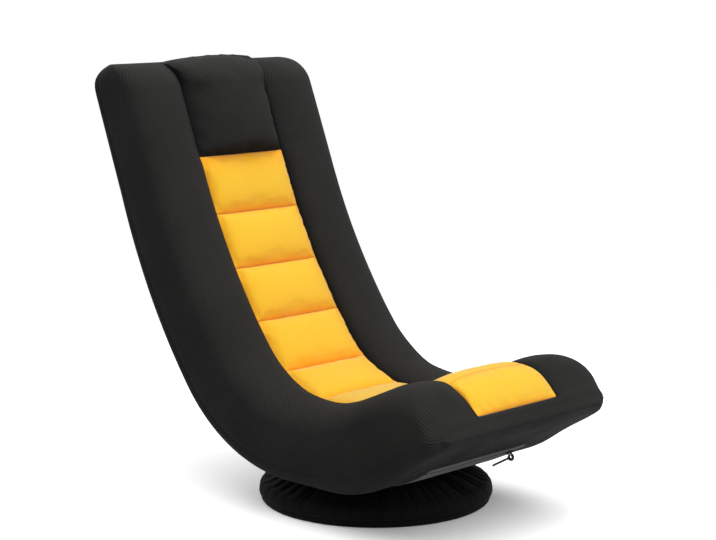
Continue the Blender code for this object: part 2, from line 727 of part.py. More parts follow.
def make_ball_cage(finishes, base):
    """Flat cage ring with its balls, one running body between the two plates."""
    inner, outer = BALL_CIRCLE - CAGE_WIDTH / 2, BALL_CIRCLE + CAGE_WIDTH / 2
    low, high = BALL_Z - CAGE_THICKNESS / 2, BALL_Z + CAGE_THICKNESS / 2
    cage = turned("bearing_ball_cage", [(outer, high), (outer, low), (inner, low), (inner, high)], 30)
    cage = place_mesh("bearing_ball_cage", cage, finishes["zinc_steel"], base)
    for k in range(BALL_COUNT):
        angle = 2 * math.pi * k / BALL_COUNT
        ball = bmesh.new()
        place = Matrix.Translation((BALL_CIRCLE * math.cos(angle), BALL_CIRCLE * math.sin(angle), BALL_Z))
        bmesh.ops.create_uvsphere(ball, u_segments=7, v_segments=5, radius=BALL_DIAMETER / 2, matrix=place)
        mesh = bpy.data.meshes.new(f"ball_{k + 1}")
        ball.to_mesh(mesh)
        ball.free()
        carve(cage, cutter(f"ball_{k + 1}", mesh), "UNION")


def make_seat_frame(finishes, seat):
    """Seat tube, cross tubes, upper bearing plate and straps. Returns the cutters for the foam."""
    cutters = []
    plate = prism("bearing_upper_plate", rounded_square(BEARING_SIDE, PLATE_CORNER),
                  UPPER_PLATE_BOTTOM, UPPER_PLATE_TOP, "Z")
    plate = place_mesh("bearing_upper_plate", plate, finishes["zinc_steel"], seat)
    carve(plate, bpy.data.objects["plate_hole"])
    knee_z = SEAT_TUBE_Z
    front_z = SEAT_TUBE_Z + SEAT_TUBE_RISE
    half = [(SEAT_TUBE_X, SEAT_TUBE_REAR, knee_z), (SEAT_TUBE_X, -SEAT_TUBE_KNEE, knee_z),
            (SEAT_TUBE_X, -SEAT_TUBE_FRONT, front_z)]
    corners = [(-x, y, z) for x, y, z in half] + list(reversed(half))
    route = rounded_route(corners, TUBE_BEND)
    place_mesh("seat_tube", tube("seat_tube", route, TUBE_RADIUS), finishes["frame_paint"], seat)
    bed = tube("seat_tube_cut", stretched(route), TUBE_RADIUS + CUT_CLEARANCE)
    cutters.append(cutter("seat_tube_cut", bed))
    reach = SEAT_TUBE_X + TUBE_RADIUS
    for name, y in (("front", -CROSS_TUBE_Y), ("rear", CROSS_TUBE_Y)):
        line = [Vector((-reach, y, CROSS_TUBE_Z)), Vector((reach, y, CROSS_TUBE_Z))]
        place_mesh(f"seat_cross_tube_{name}", tube(f"seat_cross_tube_{name}", line, TUBE_RADIUS),
                   finishes["frame_paint"], seat)
        half_slot = TUBE_RADIUS + CUT_CLEARANCE
        slot = [(y - half_slot, 0.0), (y + half_slot, 0.0), (y + half_slot, CROSS_TUBE_Z + half_slot),
                (y - half_slot, CROSS_TUBE_Z + half_slot)]
        edge = reach + CUT_CLEARANCE
        cutters.append(cutter(f"cross_slot_{name}", prism(f"cross_slot_{name}", slot, -edge, edge)))
    strap_z = SEAT_TUBE_Z + TUBE_RADIUS + GAP + STRAP_THICKNESS / 2
    for k in range(SEAT_STRAPS):
        centre = (SEAT_STRAP_REAR - SEAT_STRAP_PITCH * k, strap_z)
        name = f"seat_strap_{k + 1}"
        cutters.append(make_strap(finishes, seat, name, centre, (1.0, 0.0), SEAT_TUBE_X))
    return cutters


def stretched(route, by=TUBE_END_CLEARANCE):
    """The same route, a little longer at both ends."""
    first = route[0] + (route[0] - route[1]).normalized() * by
    last = route[-1] + (route[-1] - route[-2]).normalized() * by
    return [first] + route[1:-1] + [last]


def make_strap(finishes, parent, name, centre, along, tube_x):
    """A flat webbing strap across the side tubes. Returns the cutter for its slot."""
    edge = tube_x + STRAP_OVERHANG
    normal = (-along[1], along[0])

    def outline(grow):
        half, thin = STRAP_WIDTH / 2 + grow, STRAP_THICKNESS / 2 + grow
        return [(centre[0] + along[0] * a + normal[0] * b, centre[1] + along[1] * a + normal[1] * b)
                for a, b in ((-half, -thin), (half, -thin), (half, thin), (-half, thin))]

    place_mesh(name, prism(name, outline(0.0), -edge, edge), finishes["webbing"], parent)
    grow = CUT_CLEARANCE
    return cutter(f"{name}_cut", prism(f"{name}_cut", outline(grow), -edge - grow, edge + grow))


def make_back_frame(finishes, back):
    """Bent back tube, lower cross tube and straps. Returns the cutters for the foam."""
    cutters = []
    low, high = back_tube_ends()
    along = Vector((high[0] - low[0], high[1] - low[1])).normalized()
    start = (low[0] + along[0] * BACK_TUBE_INSET, low[1] + along[1] * BACK_TUBE_INSET)
    half = [(BACK_TUBE_X, *start), (BACK_TUBE_X, *high)]
    corners = [(-x, y, z) for x, y, z in half] + list(reversed(half))
    route = rounded_route(corners, TUBE_BEND)
    place_mesh("back_tube", tube("back_tube", route, TUBE_RADIUS), finishes["frame_paint"], back)
    bed = tube("back_tube_cut", stretched(route, BACK_TUBE_CUT), TUBE_RADIUS + CUT_CLEARANCE)
    cutters.append(cutter("back_tube_cut", bed))
    span = math.dist(low, high)
    reach = BACK_TUBE_X - TUBE_RADIUS - GAP
    at = span * BACK_CROSS_SHARE + BACK_ARM_LAP
    middle = (low[0] + along[0] * at, low[1] + along[1] * at)
    line = [Vector((-reach, *middle)), Vector((reach, *middle))]
    place_mesh("back_cross_tube", tube("back_cross_tube", line, TUBE_RADIUS), finishes["frame_paint"], back)
    longer = [Vector((-BACK_TUBE_X, *middle)), Vector((BACK_TUBE_X, *middle))]
    cutters.append(cutter("back_cross_cut", tube("back_cross_cut", longer, TUBE_RADIUS + CUT_CLEARANCE)))
    forward = (-along[1], along[0])
    lift = TUBE_RADIUS + GAP + STRAP_THICKNESS / 2
    free = span - at - TUBE_BEND - STRAP_WIDTH
    for k in range(BACK_STRAPS):
        run = at + STRAP_WIDTH / 2 + TUBE_RADIUS + free * (k + 0.5) / BACK_STRAPS
        centre = (low[0] + along[0] * run + forward[0] * lift, low[1] + along[1] * run + forward[1] * lift)
        cutters.append(make_strap(finishes, back, f"back_strap_{k + 1}", centre, along, BACK_TUBE_X))
    return cutters


def side_span(side, low, high):
    """An X span given for the left side, mirrored for the right."""
    return (low, high) if side > 0 else (-high, -low)


def make_hinge(finishes, seat, back, pawl_pivot, side, label):
    """One ratchet hinge: seat leaf with a pawl stud, toothed back leaf, rivet and pawl."""
    seat_low = HINGE_X - GAP / 2 - LEAF_THICKNESS
    back_high = HINGE_X + GAP / 2 + LEAF_THICKNESS
    pin = (PIVOT_Y, PIVOT_Z)
    hole = circle(pin, RIVET_RADIUS + GAP, 14)
    hole_cut = cutter(f"rivet_hole_{label}",
                      prism(f"rivet_hole_{label}", hole,
                            *side_span(side, seat_low - CUT_OVERRUN, back_high + CUT_OVERRUN)))
    outline = leaf_outline(seat_arm_end(), LEAF_RADIUS, ARM_WIDTH)
    leaf = prism(f"seat_leaf_{label}", outline, *side_span(side, seat_low, HINGE_X - GAP / 2))
    leaf = place_mesh(f"seat_leaf_{label}", leaf, finishes["zinc_steel"], seat)
    carve(leaf, hole_cut)
    pawl_at = arm_line(PAWL_PIVOT_POLAR, PAWL_PIVOT_RADIUS)
    stud = prism(f"pawl_stud_{label}", circle(pawl_at, PAWL_STUD, 12),
                 *side_span(side, HINGE_X - LEAF_THICKNESS / 2, back_high))
    carve(leaf, cutter(f"pawl_stud_{label}", stud), "UNION")
    outline = leaf_outline(back_arm_end(), RATCHET_RADIUS, ARM_WIDTH, teeth=RATCHET_TEETH)
    ratchet = prism(f"back_leaf_{label}", outline, *side_span(side, HINGE_X + GAP / 2, back_high))
    ratchet = place_mesh(f"back_leaf_{label}", ratchet, finishes["zinc_steel"], back)
    carve(ratchet, hole_cut)
    make_rivet(finishes, seat, side, label, seat_low, back_high)
    make_pawl(finishes, pawl_pivot, side, label, back_high)


def make_rivet(finishes, seat, side, label, seat_low, back_high):
    steps = [(seat_low - GAP - RIVET_HEAD, RIVET_HEAD_RADIUS), (seat_low - GAP, RIVET_HEAD_RADIUS),
             (seat_low - GAP, RIVET_RADIUS), (back_high + GAP, RIVET_RADIUS),
             (back_high + GAP, RIVET_HEAD_RADIUS), (back_high + GAP + RIVET_HEAD, RIVET_HEAD_RADIUS)]
    rings = [[(side * x, y, z) for y, z in circle((PIVOT_Y, PIVOT_Z), r, 14)] for x, r in steps]
    name = f"hinge_rivet_{label}"
    place_mesh(name, loft(name, rings, smooth_angle=35.0), finishes["zinc_steel"], seat)


def make_pawl(finishes, pawl_pivot, side, label, back_high):
    """A drop-shaped pawl on its stud, with its tip just clear of the tooth tips."""
    at = arm_line(PAWL_PIVOT_POLAR, PAWL_PIVOT_RADIUS)
    tip = arm_line(PAWL_TIP_POLAR, RATCHET_RADIUS + PAWL_TIP_CLEARANCE)
    aim = math.atan2(tip[1] - at[1], tip[0] - at[0])
    outline = [tip]
    for k in range(11):
        angle = aim + PAWL_HUB_START + PAWL_HUB_SWEEP * k / 10
        outline.append((at[0] + PAWL_HUB * math.cos(angle), at[1] + PAWL_HUB * math.sin(angle)))
    name = f"pawl_{label}"
    pawl = prism(name, outline, *side_span(side, HINGE_X + GAP / 2, back_high))
    pawl = place_mesh(name, pawl, finishes["zinc_steel"], pawl_pivot)
    hole = prism(f"{name}_hole", circle(at, PAWL_STUD + GAP, 12),
                 *side_span(side, HINGE_X - CUT_OVERRUN, back_high + CUT_OVERRUN))
    carve(pawl, cutter(f"{name}_hole", hole))


def hinge_cutters(side, label):
    """Slots for the two arms, and the pockets for the hinge heads and the pawl."""
    grow = CUT_CLEARANCE
    seat_low = HINGE_X - GAP / 2 - LEAF_THICKNESS - grow
    back_high = HINGE_X + GAP / 2 + LEAF_THICKNESS + grow
    seat_line = leaf_outline(seat_arm_end(), LEAF_RADIUS, ARM_WIDTH, grow=grow)
    back_line = leaf_outline(back_arm_end(), RATCHET_RADIUS, ARM_WIDTH, grow=grow)
    seat_slot = prism(f"seat_arm_slot_{label}", seat_line, *side_span(side, seat_low, HINGE_X + grow))
    back_slot = prism(f"back_arm_slot_{label}", back_line, *side_span(side, HINGE_X - grow, back_high))
    span = side_span(side, seat_low - RIVET_HEAD - GAP - grow, back_high + RIVET_HEAD + GAP + grow)
    pocket = prism(f"hinge_pocket_{label}", circle((PIVOT_Y, PIVOT_Z), POCKET_RADIUS, 20), *span)
    pawl_at = arm_line(PAWL_PIVOT_POLAR, PAWL_PIVOT_RADIUS)
    pawl_pocket = prism(f"pawl_pocket_{label}", circle(pawl_at, PAWL_POCKET_RADIUS, 16), *span)
    return (cutter(f"seat_arm_slot_{label}", seat_slot), cutter(f"back_arm_slot_{label}", back_slot),
            cutter(f"hinge_pocket_{label}", pocket), cutter(f"pawl_pocket_{label}", pawl_pocket))


def shifted(arcs, first, last):
    """The same stations with the two end ones moved."""
    return [arcs[0] + first] + list(arcs[1:-1]) + [arcs[-1] + last]


def make_foams(finishes, seat, back, seat_cutters, back_cutters, hinge_cuts):
    bend_arcs = pad_arcs(BACK_CHANNEL_COUNT, UPPER_COUNT)
    seat_arcs = pad_arcs(UPPER_COUNT, CHANNEL_COUNT + 1)
    rings = [section(arc) for arc in shifted(bend_arcs, GAP, 0.0)[:-1] + seat_arcs]
    rings += [section(STRIP_END + NOSE_STEP, False), section(STRIP_END + NOSE_MARGIN / 2, False)]
    rings += [section(SEAT_LENGTH, False)]
    seat_foam = place_mesh("seat_foam", loft("seat_foam", rings), finishes["black_mesh"], seat)
    reach = PAD_WIDTH
    wedge = cutter("bend_cut", prism("bend_cut", bend_outline(GAP / 2), -reach, reach))
    carve(seat_foam, wedge)
    for cut in seat_cutters:
        carve(seat_foam, cut)
    bend_rings = [section(arc) for arc in shifted(bend_arcs, GAP, GAP)]
    bend_foam = place_mesh("bend_foam", loft("bend_foam", bend_rings), finishes["black_mesh"], seat)
    core = cutter("bend_core", prism("bend_core", bend_outline(-GAP / 2), -reach, reach))
    carve(bend_foam, core, "INTERSECT")
    back_rings = [section(arc) for arc in head_arcs() + shifted(pad_arcs(0, BACK_CHANNEL_COUNT), 0.0, -GAP)]
    back_foam = place_mesh("back_foam", loft("back_foam", back_rings), finishes["black_mesh"], back)
    for cut in back_cutters:
        carve(back_foam, cut)
    for seat_slot, back_slot, pocket, pawl_pocket in hinge_cuts:
        carve(seat_foam, seat_slot)
        carve(bend_foam, pocket)
        carve(bend_foam, pawl_pocket)
        carve(bend_foam, seat_slot)
        carve(bend_foam, back_slot)
        carve(back_foam, back_slot)


def cushion_ring(arc, crown, edge, half=STRIP_HALF - GAP, left=1.0):
    """One ring of a strip cushion: flat below on its groove, crowned above.

    A larger edge makes its sides gentler, and left is what an end's rounding leaves.
    """
    front, outer = station(arc)
    middle = math.dist(front, outer) / 2
    floor = middle + (GROOVE_DEPTH - middle) * end_round(-arc, BACK_LENGTH, TOP_ROUND) - GAP
    line = []
    for k in range(5):
        angle = math.pi / 2 * (1 - k / 4)
        x = half * math.cos(angle) ** CUSHION_SIDE if k else 0.0
        depth = SEAM_DIP - (SEAM_DIP + crown) * math.sin(angle) ** edge
        line.append((x, middle + (depth - middle) * left))
    line += [(half, floor), (0.0, floor)]
    return ring_of(line, front, outer)


def make_channels(finishes, seat, back):
    """Quilted channels in the strip's groove, and the deeper one on the front face."""
    for index in range(CHANNEL_COUNT + 1):
        if index < BACK_CHANNEL_COUNT:
            name, parent = f"back_channel_{index + 1}", back
        elif index < UPPER_COUNT:
            name, parent = f"bend_channel_{index + 1 - BACK_CHANNEL_COUNT}", seat
        elif index < CHANNEL_COUNT:
            name, parent = f"seat_channel_{index + 1 - UPPER_COUNT}", seat
        else:
            name, parent = "front_channel", seat
        arcs = shifted(channel_arcs(index), GAP, -GAP)
        full = CHANNEL_CROWN if index < CHANNEL_COUNT - 1 else CREST_CROWN
        rings = []
        for arc, share in zip(arcs, CHANNEL_STEPS):
            crown = full * math.sin(math.pi * share) ** CHANNEL_FULLNESS if 0 < share < 1 else -SEAM_DIP
            rings.append(cushion_ring(arc, crown, CHANNEL_EDGE))
        place_mesh(name, loft(name, rings), finishes["yellow_mesh"], parent)


def make_pillow(finishes, back):
    """Head pillow: fills the groove over the strip and stands proud of the side rolls."""
    length = BACK_LENGTH + PILLOW_RISE
    span = length + STRIP_START
    rise_arcs = [-(BACK_LENGTH + PILLOW_RISE * share) for share in (1.0, 0.6)]
    rings = []
    for arc in rise_arcs + head_arcs() + [STRIP_START - GAP]:
        share = (arc + length) / span
        phase = PILLOW_TOP_SHARE + (PILLOW_LOW_SHARE - PILLOW_TOP_SHARE) * share
        crown = PILLOW_CROWN * math.sin(math.pi * phase) ** PILLOW_FULLNESS
        half = (STRIP_HALF - GAP) * end_round(-arc, length, PILLOW_ARCH)
        rings.append(cushion_ring(arc, crown, PILLOW_EDGE, half, end_round(-arc, length, TOP_ROUND)))
    place_mesh("head_pillow", loft("head_pillow", rings), finishes["black_mesh"], back)


def panel(name, arcs, finishes, parent, round_top=False):
    """A thin cloth panel lying on the outer side of the pad."""
    rings = []
    for arc in arcs:
        front, outer = station(arc)
        thick = math.dist(front, outer)
        down = ((outer[0] - front[0]) / thick, (outer[1] - front[1]) / thick)
        half = PANEL_WIDTH / 2
        if round_top:
            into = max(0.0, 1 - (arc - arcs[0]) / PANEL_CORNER)
            half -= PANEL_CORNER * (1 - math.sqrt(1 - into * into))
        low, high = thick + GAP, thick + GAP + PANEL_THICKNESS
        ring = [(half, low), (half, high), (-half, high), (-half, low)]
        rings.append([(x, front[0] + down[0] * v, front[1] + down[1] * v) for x, v in ring])
    place_mesh(name, loft(name, rings), finishes["grey_cloth"], parent)


def make_panels(finishes, seat, back):
    seat_arcs = pad_arcs(UPPER_COUNT, CHANNEL_COUNT + 1)
    front_arcs = [a for a in seat_arcs if UNDER_FLAT < a < ZIP_ARC - PANEL_STEP]
    panel("seat_panel", [UNDER_FLAT] + front_arcs + [ZIP_ARC], finishes, seat)
    panel("zip_facing", [FACING_ARC, FACING_ARC + FACING_WIDTH], finishes, seat)
    back_arcs = head_arcs() + pad_arcs(0, BACK_CHANNEL_COUNT)
    top = -(BACK_LENGTH - PANEL_TOP_INSET)
    rest = [a for a in back_arcs if a > top + 2 * PANEL_CORNER_RUN]
    rest = [top, top + PANEL_CORNER_RUN] + rest[:-1] + [rest[-1] - GAP]
    panel("back_panel", rest, finishes, back, round_top=True)


def zip_frame():
    """Place and directions of the zip: (origin in YZ, forward along the cloth, outward from it)."""
    _, outer = station(ZIP_ARC + GAP + ZIP_WIDTH / 2)
    _, before = station(ZIP_ARC)
    ahead = Vector((outer[0] - before[0], outer[1] - before[1])).normalized()
    outward = Vector((-ahead[1], ahead[0]))
    return Vector(outer), ahead, outward


def zip_block(name, spans):
    """A box in the zip's own directions: (along X, forward, outward) spans."""
    origin, ahead, outward = zip_frame()
    (x0, x1), (b0, b1), (c0, c1) = spans
    outline = [tuple(origin + ahead * b + outward * c) for b, c in ((b0, c0), (b1, c0), (b1, c1), (b0, c1))]
    return prism(name, outline, x0, x1)


def make_zip(finishes, seat, slider_pivot, pull_pivot):
    half = ZIP_LENGTH / 2
    low = GAP
    top = low + ZIP_THICKNESS
    tape = zip_block("zip_tape", ((-half, half), (-ZIP_WIDTH / 2, ZIP_WIDTH / 2), (low, top)))
    place_mesh("zip_tape", tape, finishes["zip_metal"], seat)
    at = SLIDER_X
    body_low, body_top = top + GAP, top + GAP + SLIDER_HEIGHT
    wide = ZIP_WIDTH / 2 + SLIDER_LIP
    spans = ((at - SLIDER_LENGTH / 2, at + SLIDER_LENGTH / 2), (-wide, wide), (body_low, body_top))
    slider = place_mesh("zip_slider", zip_block("zip_slider", spans), finishes["zip_metal"], slider_pivot)
    post = SLIDER_LENGTH / 2 - BAIL_BAR
    for k, x in enumerate((at - post, at + post)):
        spans = ((x - BAIL_BAR / 2, x + BAIL_BAR / 2), (-BAIL_WIDTH / 2, BAIL_WIDTH / 2),
                 (body_top - SLIDER_LIP, body_top + BAIL_HEIGHT))
        carve(slider, cutter(f"bail_post_{k + 1}", zip_block(f"bail_post_{k + 1}", spans)), "UNION")
    spans = ((at - post - BAIL_BAR / 2, at + post + BAIL_BAR / 2), (-BAIL_WIDTH / 2, BAIL_WIDTH / 2),
             (body_top + BAIL_HEIGHT - BAIL_BAR, body_top + BAIL_HEIGHT))
    carve(slider, cutter("bail_bar", zip_block("bail_bar", spans)), "UNION")
    make_pull(finishes, pull_pivot)


def make_pull(finishes, pull_pivot):
    """A flat pull tab whose eye goes round the bail."""
    at = SLIDER_X
    low, high = BAIL_EYE - PULL_THICKNESS / 2, BAIL_EYE + PULL_THICKNESS / 2
    bar = PULL_RAIL / 2
    body = ((at + bar - PULL_LENGTH, at + bar), (-PULL_WIDTH / 2, PULL_WIDTH / 2), (low, high))
    pull = place_mesh("zip_pull", zip_block("zip_pull", body), finishes["zip_metal"], pull_pivot)
    eye = PULL_WIDTH / 2 - PULL_RAIL
    hole = ((at - PULL_EYE, at - bar), (-eye, eye), (low - CUT_OVERRUN, high + CUT_OVERRUN))
    carve(pull, cutter("pull_eye", zip_block("pull_eye", hole)))


def main():
    clear_scene()
    finishes = make_finishes()
    base = pivot_empty("base_frame", (0.0, 0.0, 0.0))
    seat = pivot_empty("seat_swivel_axis", (0.0, 0.0, UNDERSIDE_Z), base)
    back = pivot_empty("back_fold_axis", (0.0, PIVOT_Y, PIVOT_Z), seat)
    make_base(finishes, base)
    seat_cutters = make_seat_frame(finishes, seat)
    back_cutters = make_back_frame(finishes, back)
    hinge_cuts = []
    pawl_at = arm_line(PAWL_PIVOT_POLAR, PAWL_PIVOT_RADIUS)
    for side, label in ((-1, "right"), (1, "left")):
        pawl_pivot = pivot_empty(f"pawl_axis_{label}", (side * HINGE_X, *pawl_at), seat)
        make_hinge(finishes, seat, back, pawl_pivot, side, label)
        hinge_cuts.append(hinge_cutters(side, label))
    make_foams(finishes, seat, back, seat_cutters, back_cutters, hinge_cuts)
    make_channels(finishes, seat, back)
    make_pillow(finishes, back)
    make_panels(finishes, seat, back)
    origin, _, outward = zip_frame()
    slider_pivot = pivot_empty("zip_slide_axis", (SLIDER_X, *origin), seat)
    pull_pivot = pivot_empty("zip_pull_axis", (SLIDER_X, *(origin + outward * BAIL_EYE)), slider_pivot)
    make_zip(finishes, seat, slider_pivot, pull_pivot)


main()
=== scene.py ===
"""Looks of the adjustable floor chair: quilted mesh pad, grey panels, zip and cloth-covered swivel base."""

from __future__ import annotations

import json
import logging
import math
from dataclasses import dataclass, field
from enum import Enum
from functools import cached_property
from typing import Callable, Sequence

import bmesh
import bpy
import numpy as np
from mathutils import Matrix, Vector

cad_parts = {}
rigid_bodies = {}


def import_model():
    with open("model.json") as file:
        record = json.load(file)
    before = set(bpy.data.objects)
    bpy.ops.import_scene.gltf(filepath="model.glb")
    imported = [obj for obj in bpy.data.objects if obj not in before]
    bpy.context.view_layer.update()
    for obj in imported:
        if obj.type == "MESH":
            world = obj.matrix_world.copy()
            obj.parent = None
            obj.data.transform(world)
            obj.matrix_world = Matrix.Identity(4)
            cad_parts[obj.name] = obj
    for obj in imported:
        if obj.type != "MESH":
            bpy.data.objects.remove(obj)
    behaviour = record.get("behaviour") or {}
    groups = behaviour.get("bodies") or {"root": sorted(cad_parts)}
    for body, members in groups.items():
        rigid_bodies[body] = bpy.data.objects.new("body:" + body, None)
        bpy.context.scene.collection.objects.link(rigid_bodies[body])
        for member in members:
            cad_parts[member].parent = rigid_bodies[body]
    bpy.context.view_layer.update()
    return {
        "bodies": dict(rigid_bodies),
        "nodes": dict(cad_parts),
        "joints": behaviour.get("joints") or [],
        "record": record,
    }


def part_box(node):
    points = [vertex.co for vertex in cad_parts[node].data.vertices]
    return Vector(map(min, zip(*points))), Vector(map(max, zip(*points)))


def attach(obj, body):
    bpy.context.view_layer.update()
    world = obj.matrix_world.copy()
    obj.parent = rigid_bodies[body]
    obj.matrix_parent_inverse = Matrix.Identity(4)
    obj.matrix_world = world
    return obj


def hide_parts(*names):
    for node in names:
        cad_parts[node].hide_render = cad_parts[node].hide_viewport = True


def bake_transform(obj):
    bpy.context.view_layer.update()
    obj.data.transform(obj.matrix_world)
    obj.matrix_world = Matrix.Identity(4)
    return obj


LOG = logging.getLogger("floor_chair")
SEED = 11
UV_NAME = "cloth"
# Mesh attribute with the share of painted shade in creases, seams and folds.
CREASE_SHADE_NAME = "crease_shade"
TURN = 2 * math.pi
ZIP_INSET = 0.137
END_SHARE = 0.03
BEVEL_SHARE = 0.28
BEVEL_STEPS = 3
BEVEL_PROFILE = 0.6

Point2 = tuple[float, float]
Point3 = tuple[float, float, float]
Colour = tuple[float, float, float]
Legs = tuple[Point2, ...]


class Slot(Enum):
    """Material slots of the record."""

    BLACK_MESH = "black_mesh"
    YELLOW_MESH = "yellow_mesh"
    GREY_CLOTH = "grey_cloth"
    SKIRT_CLOTH = "skirt_cloth"
    FRAME_PAINT = "frame_paint"
    ZINC_STEEL = "zinc_steel"
    WEBBING = "webbing"
    RUBBER = "rubber"
    ZIP_METAL = "zip_metal"


class Reach(Enum):
    """What a studio light reaches, as the state of the floor in its list of receivers."""

    CHAIR = "EXCLUDE"
    FLOOR = "INCLUDE"


class Body(Enum):
    """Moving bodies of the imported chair."""

    BASE = "base"
    SEAT = "seat"
    BACK = "back"
    SLIDER = "zip_slider"
    PULL = "zip_pull"


def ease(value: float) -> float:
    """Smooth step between 0 and 1 for a share of any size."""
    value = min(1.0, max(0.0, value))
    return value * value * (3 - 2 * value)


def quarter(into: float) -> float:
    """Height left of a quarter circle, full at 0 or less and none at 1."""
    return math.sqrt(max(0.0, 1 - min(1.0, max(0.0, into)) ** 2))


def rounding(arc: float, end: float, run: float) -> float:
    """Share that a rounded end leaves, where the rounding starts one run before the end."""
    return quarter((arc - end + run) / run)


def quarter_angles(steps: int, first: int = 0) -> list[float]:
    """Even angles over a quarter turn, from a first step on."""
    return [k / steps * math.pi / 2 for k in range(first, steps + 1)]


def crowded(index: int, count: int, power: float) -> float:
    """Place of one of several points from -1 to 1, which stand closer near both ends."""
    step = 2 * index / (count - 1) - 1
    return math.copysign(1 - (1 - abs(step)) ** power, step)


def eased_along(stations: Sequence[Point2], arc: float) -> float:
    """Value at an arc length, eased from each station to the next.

    Args:
        stations: Arc lengths in rising order, each with its value.
        arc: Arc length.

    Returns:
        The value, which stays the same past both ends.
    """
    if arc <= stations[0][0]:
        return stations[0][1]
    for (low, value), (high, after) in zip(stations, stations[1:]):
        if arc <= high:
            return value + (after - value) * ease((arc - low) / (high - low))
    return stations[-1][1]


def grey(level: float) -> Colour:
    """Grey of one level."""
    return level, level, level


@dataclass(frozen=True)
class PadForm:
    """Sizes of the pad in metres, the same as the solids', and the surfaces that follow from them."""

    width: float = 0.46
    thickness: float = 0.118
    top_thickness: float = 0.110
    crook_swell: float = 0.006
    underside_z: float = 0.066
    back_tilt: float = math.radians(21.4)
    back_straight: float = 0.218
    lumbar_radius: float = 1.205
    lumbar_turn: float = math.radians(16.3)
    crook_radius: float = 0.209
    seat_rise: float = math.radians(22.5)
    seat_run: float = 0.147
    crest_radius: float = 0.085
    front_drop: float = math.radians(42.2)
    front_run: float = 0.047
    under_flat: float = 0.094
    under_radius: float = 0.245
    under_rise: float = math.radians(34.7)
    top_skew: float = 0.036
    top_round: float = 0.05
    top_corner: float = 0.036
    nose_corner: float = 0.022
    roll_back: float = 0.0275
    roll_middle: float = 0.0290
    roll_bend: float = 0.023
    roll_dip: float = 0.004
    roll_crest: float = 0.006
    roll_dip_arc: float = 0.141
    roll_front: float = 0.017
    roll_nose: float = 0.003
    roll_width: float = 0.070
    roll_depth: float = 0.048
    roll_flank: float = 0.75
    rear_round: float = 0.030
    side_swell: float = 0.004
    strip_width: float = 0.206
    groove_depth: float = 0.018
    seam_dip: float = 0.004
    hollow_dip: float = 0.006
    hollow_run: float = 0.09
    strip_top: float = 0.030
    front_channel: float = 0.074
    nose_margin: float = 0.0195
    channel_pitch: float = 0.107
    seat_pitch: float = 0.1062
    back_channels: int = 3
    bend_channels: int = 2
    seat_channels: int = 3
    pivot_turn: float = math.radians(39.0)
    pivot_depth: float = 0.032
    gap: float = 0.0003

    @property
    def seat_z(self) -> float:
        """Height of the sitting line over the swivel axis."""
        return self.underside_z + self.thickness

    @property
    def channel_count(self) -> int:
        """Channels over the front one."""
        return self.back_channels + self.bend_channels + self.seat_channels

    @property
    def strip_half(self) -> float:
        """Half the width of the quilted strip."""
        return self.strip_width / 2

    @cached_property
    def back_legs(self) -> Legs:
        """Runs of the sitting line up the back.

        Returns:
            Length and turn of each run.
        """
        crook_turn = math.radians(90.0) - self.back_tilt - self.lumbar_turn
        return (
            (self.crook_radius * crook_turn, crook_turn),
            (self.lumbar_radius * self.lumbar_turn, self.lumbar_turn),
            (self.back_straight, 0.0),
        )

    @cached_property
    def seat_legs(self) -> Legs:
        """Runs of the sitting line along the seat and down the front.

        Returns:
            Length and turn of each run.
        """
        drop = self.seat_rise + self.front_drop
        return (
            (self.crook_radius * self.seat_rise, self.seat_rise),
            (self.seat_run, 0.0),
            (self.crest_radius * drop, -drop),
            (self.front_run, 0.0),
        )

    @cached_property
    def under_legs(self) -> Legs:
        """Runs of the underside from the swivel axis to the nose.

        Returns:
            Length and turn of each run.
        """
        bend = self.under_radius * self.under_rise
        return (
            (self.under_flat, 0.0),
            (bend, self.under_rise),
            (self.seat_length - self.under_flat - bend, 0.0),
        )

    @cached_property
    def lumbar_top(self) -> float:
        """Arc length up to the straight part of the back."""
        return self.back_legs[0][0] + self.back_legs[1][0]

    @cached_property
    def back_length(self) -> float:
        """Arc length from the swivel axis to the top of the back."""
        return self.lumbar_top + self.back_straight

    @cached_property
    def seat_length(self) -> float:
        """Arc length from the swivel axis to the nose."""
        return sum(length for length, _ in self.seat_legs)

    @cached_property
    def seams(self) -> list[float]:
        """Places of the seams across the strip.

        Returns:
            Their arc lengths, from the pillow to the nose.
        """
        start = -(self.lumbar_top + self.strip_top)
        end = self.seat_length - self.nose_margin
        front = end - self.front_channel
        upper = [start + self.channel_pitch * k for k in range(self.back_channels + self.bend_channels)]
        lower = [front - self.seat_pitch * k for k in range(self.seat_channels, -1, -1)]
        return upper + lower + [end]

    @cached_property
    def roll_stations(self) -> list[Point2]:
        """Heights of the side rolls.

        Returns:
            Arc lengths along the rolls, each with the height there.
        """
        back_split = self.seams[self.back_channels]
        seat_split = self.seams[self.back_channels + self.bend_channels]
        crest = self.crook_radius * self.seat_rise + self.seat_run + self.crest_radius * self.seat_rise / 2
        front = self.seams[-2] + self.front_channel / 2
        return [
            (back_split, self.roll_back),
            ((back_split + seat_split) / 2, self.roll_middle),
            (seat_split, self.roll_bend),
            (self.roll_dip_arc, self.roll_dip),
            (crest, self.roll_crest),
            (front, self.roll_front),
            (self.seat_length, self.roll_nose),
        ]

    @cached_property
    def pivot(self) -> Vector:
        """Place of the folding hinge's axis.

        Returns:
            Its middle in the row frame.
        """
        reach = self.crook_radius + self.pivot_depth
        y = reach * math.sin(self.pivot_turn)
        z = self.seat_z + self.crook_radius - reach * math.cos(self.pivot_turn)
        return Vector((0.0, y, z))

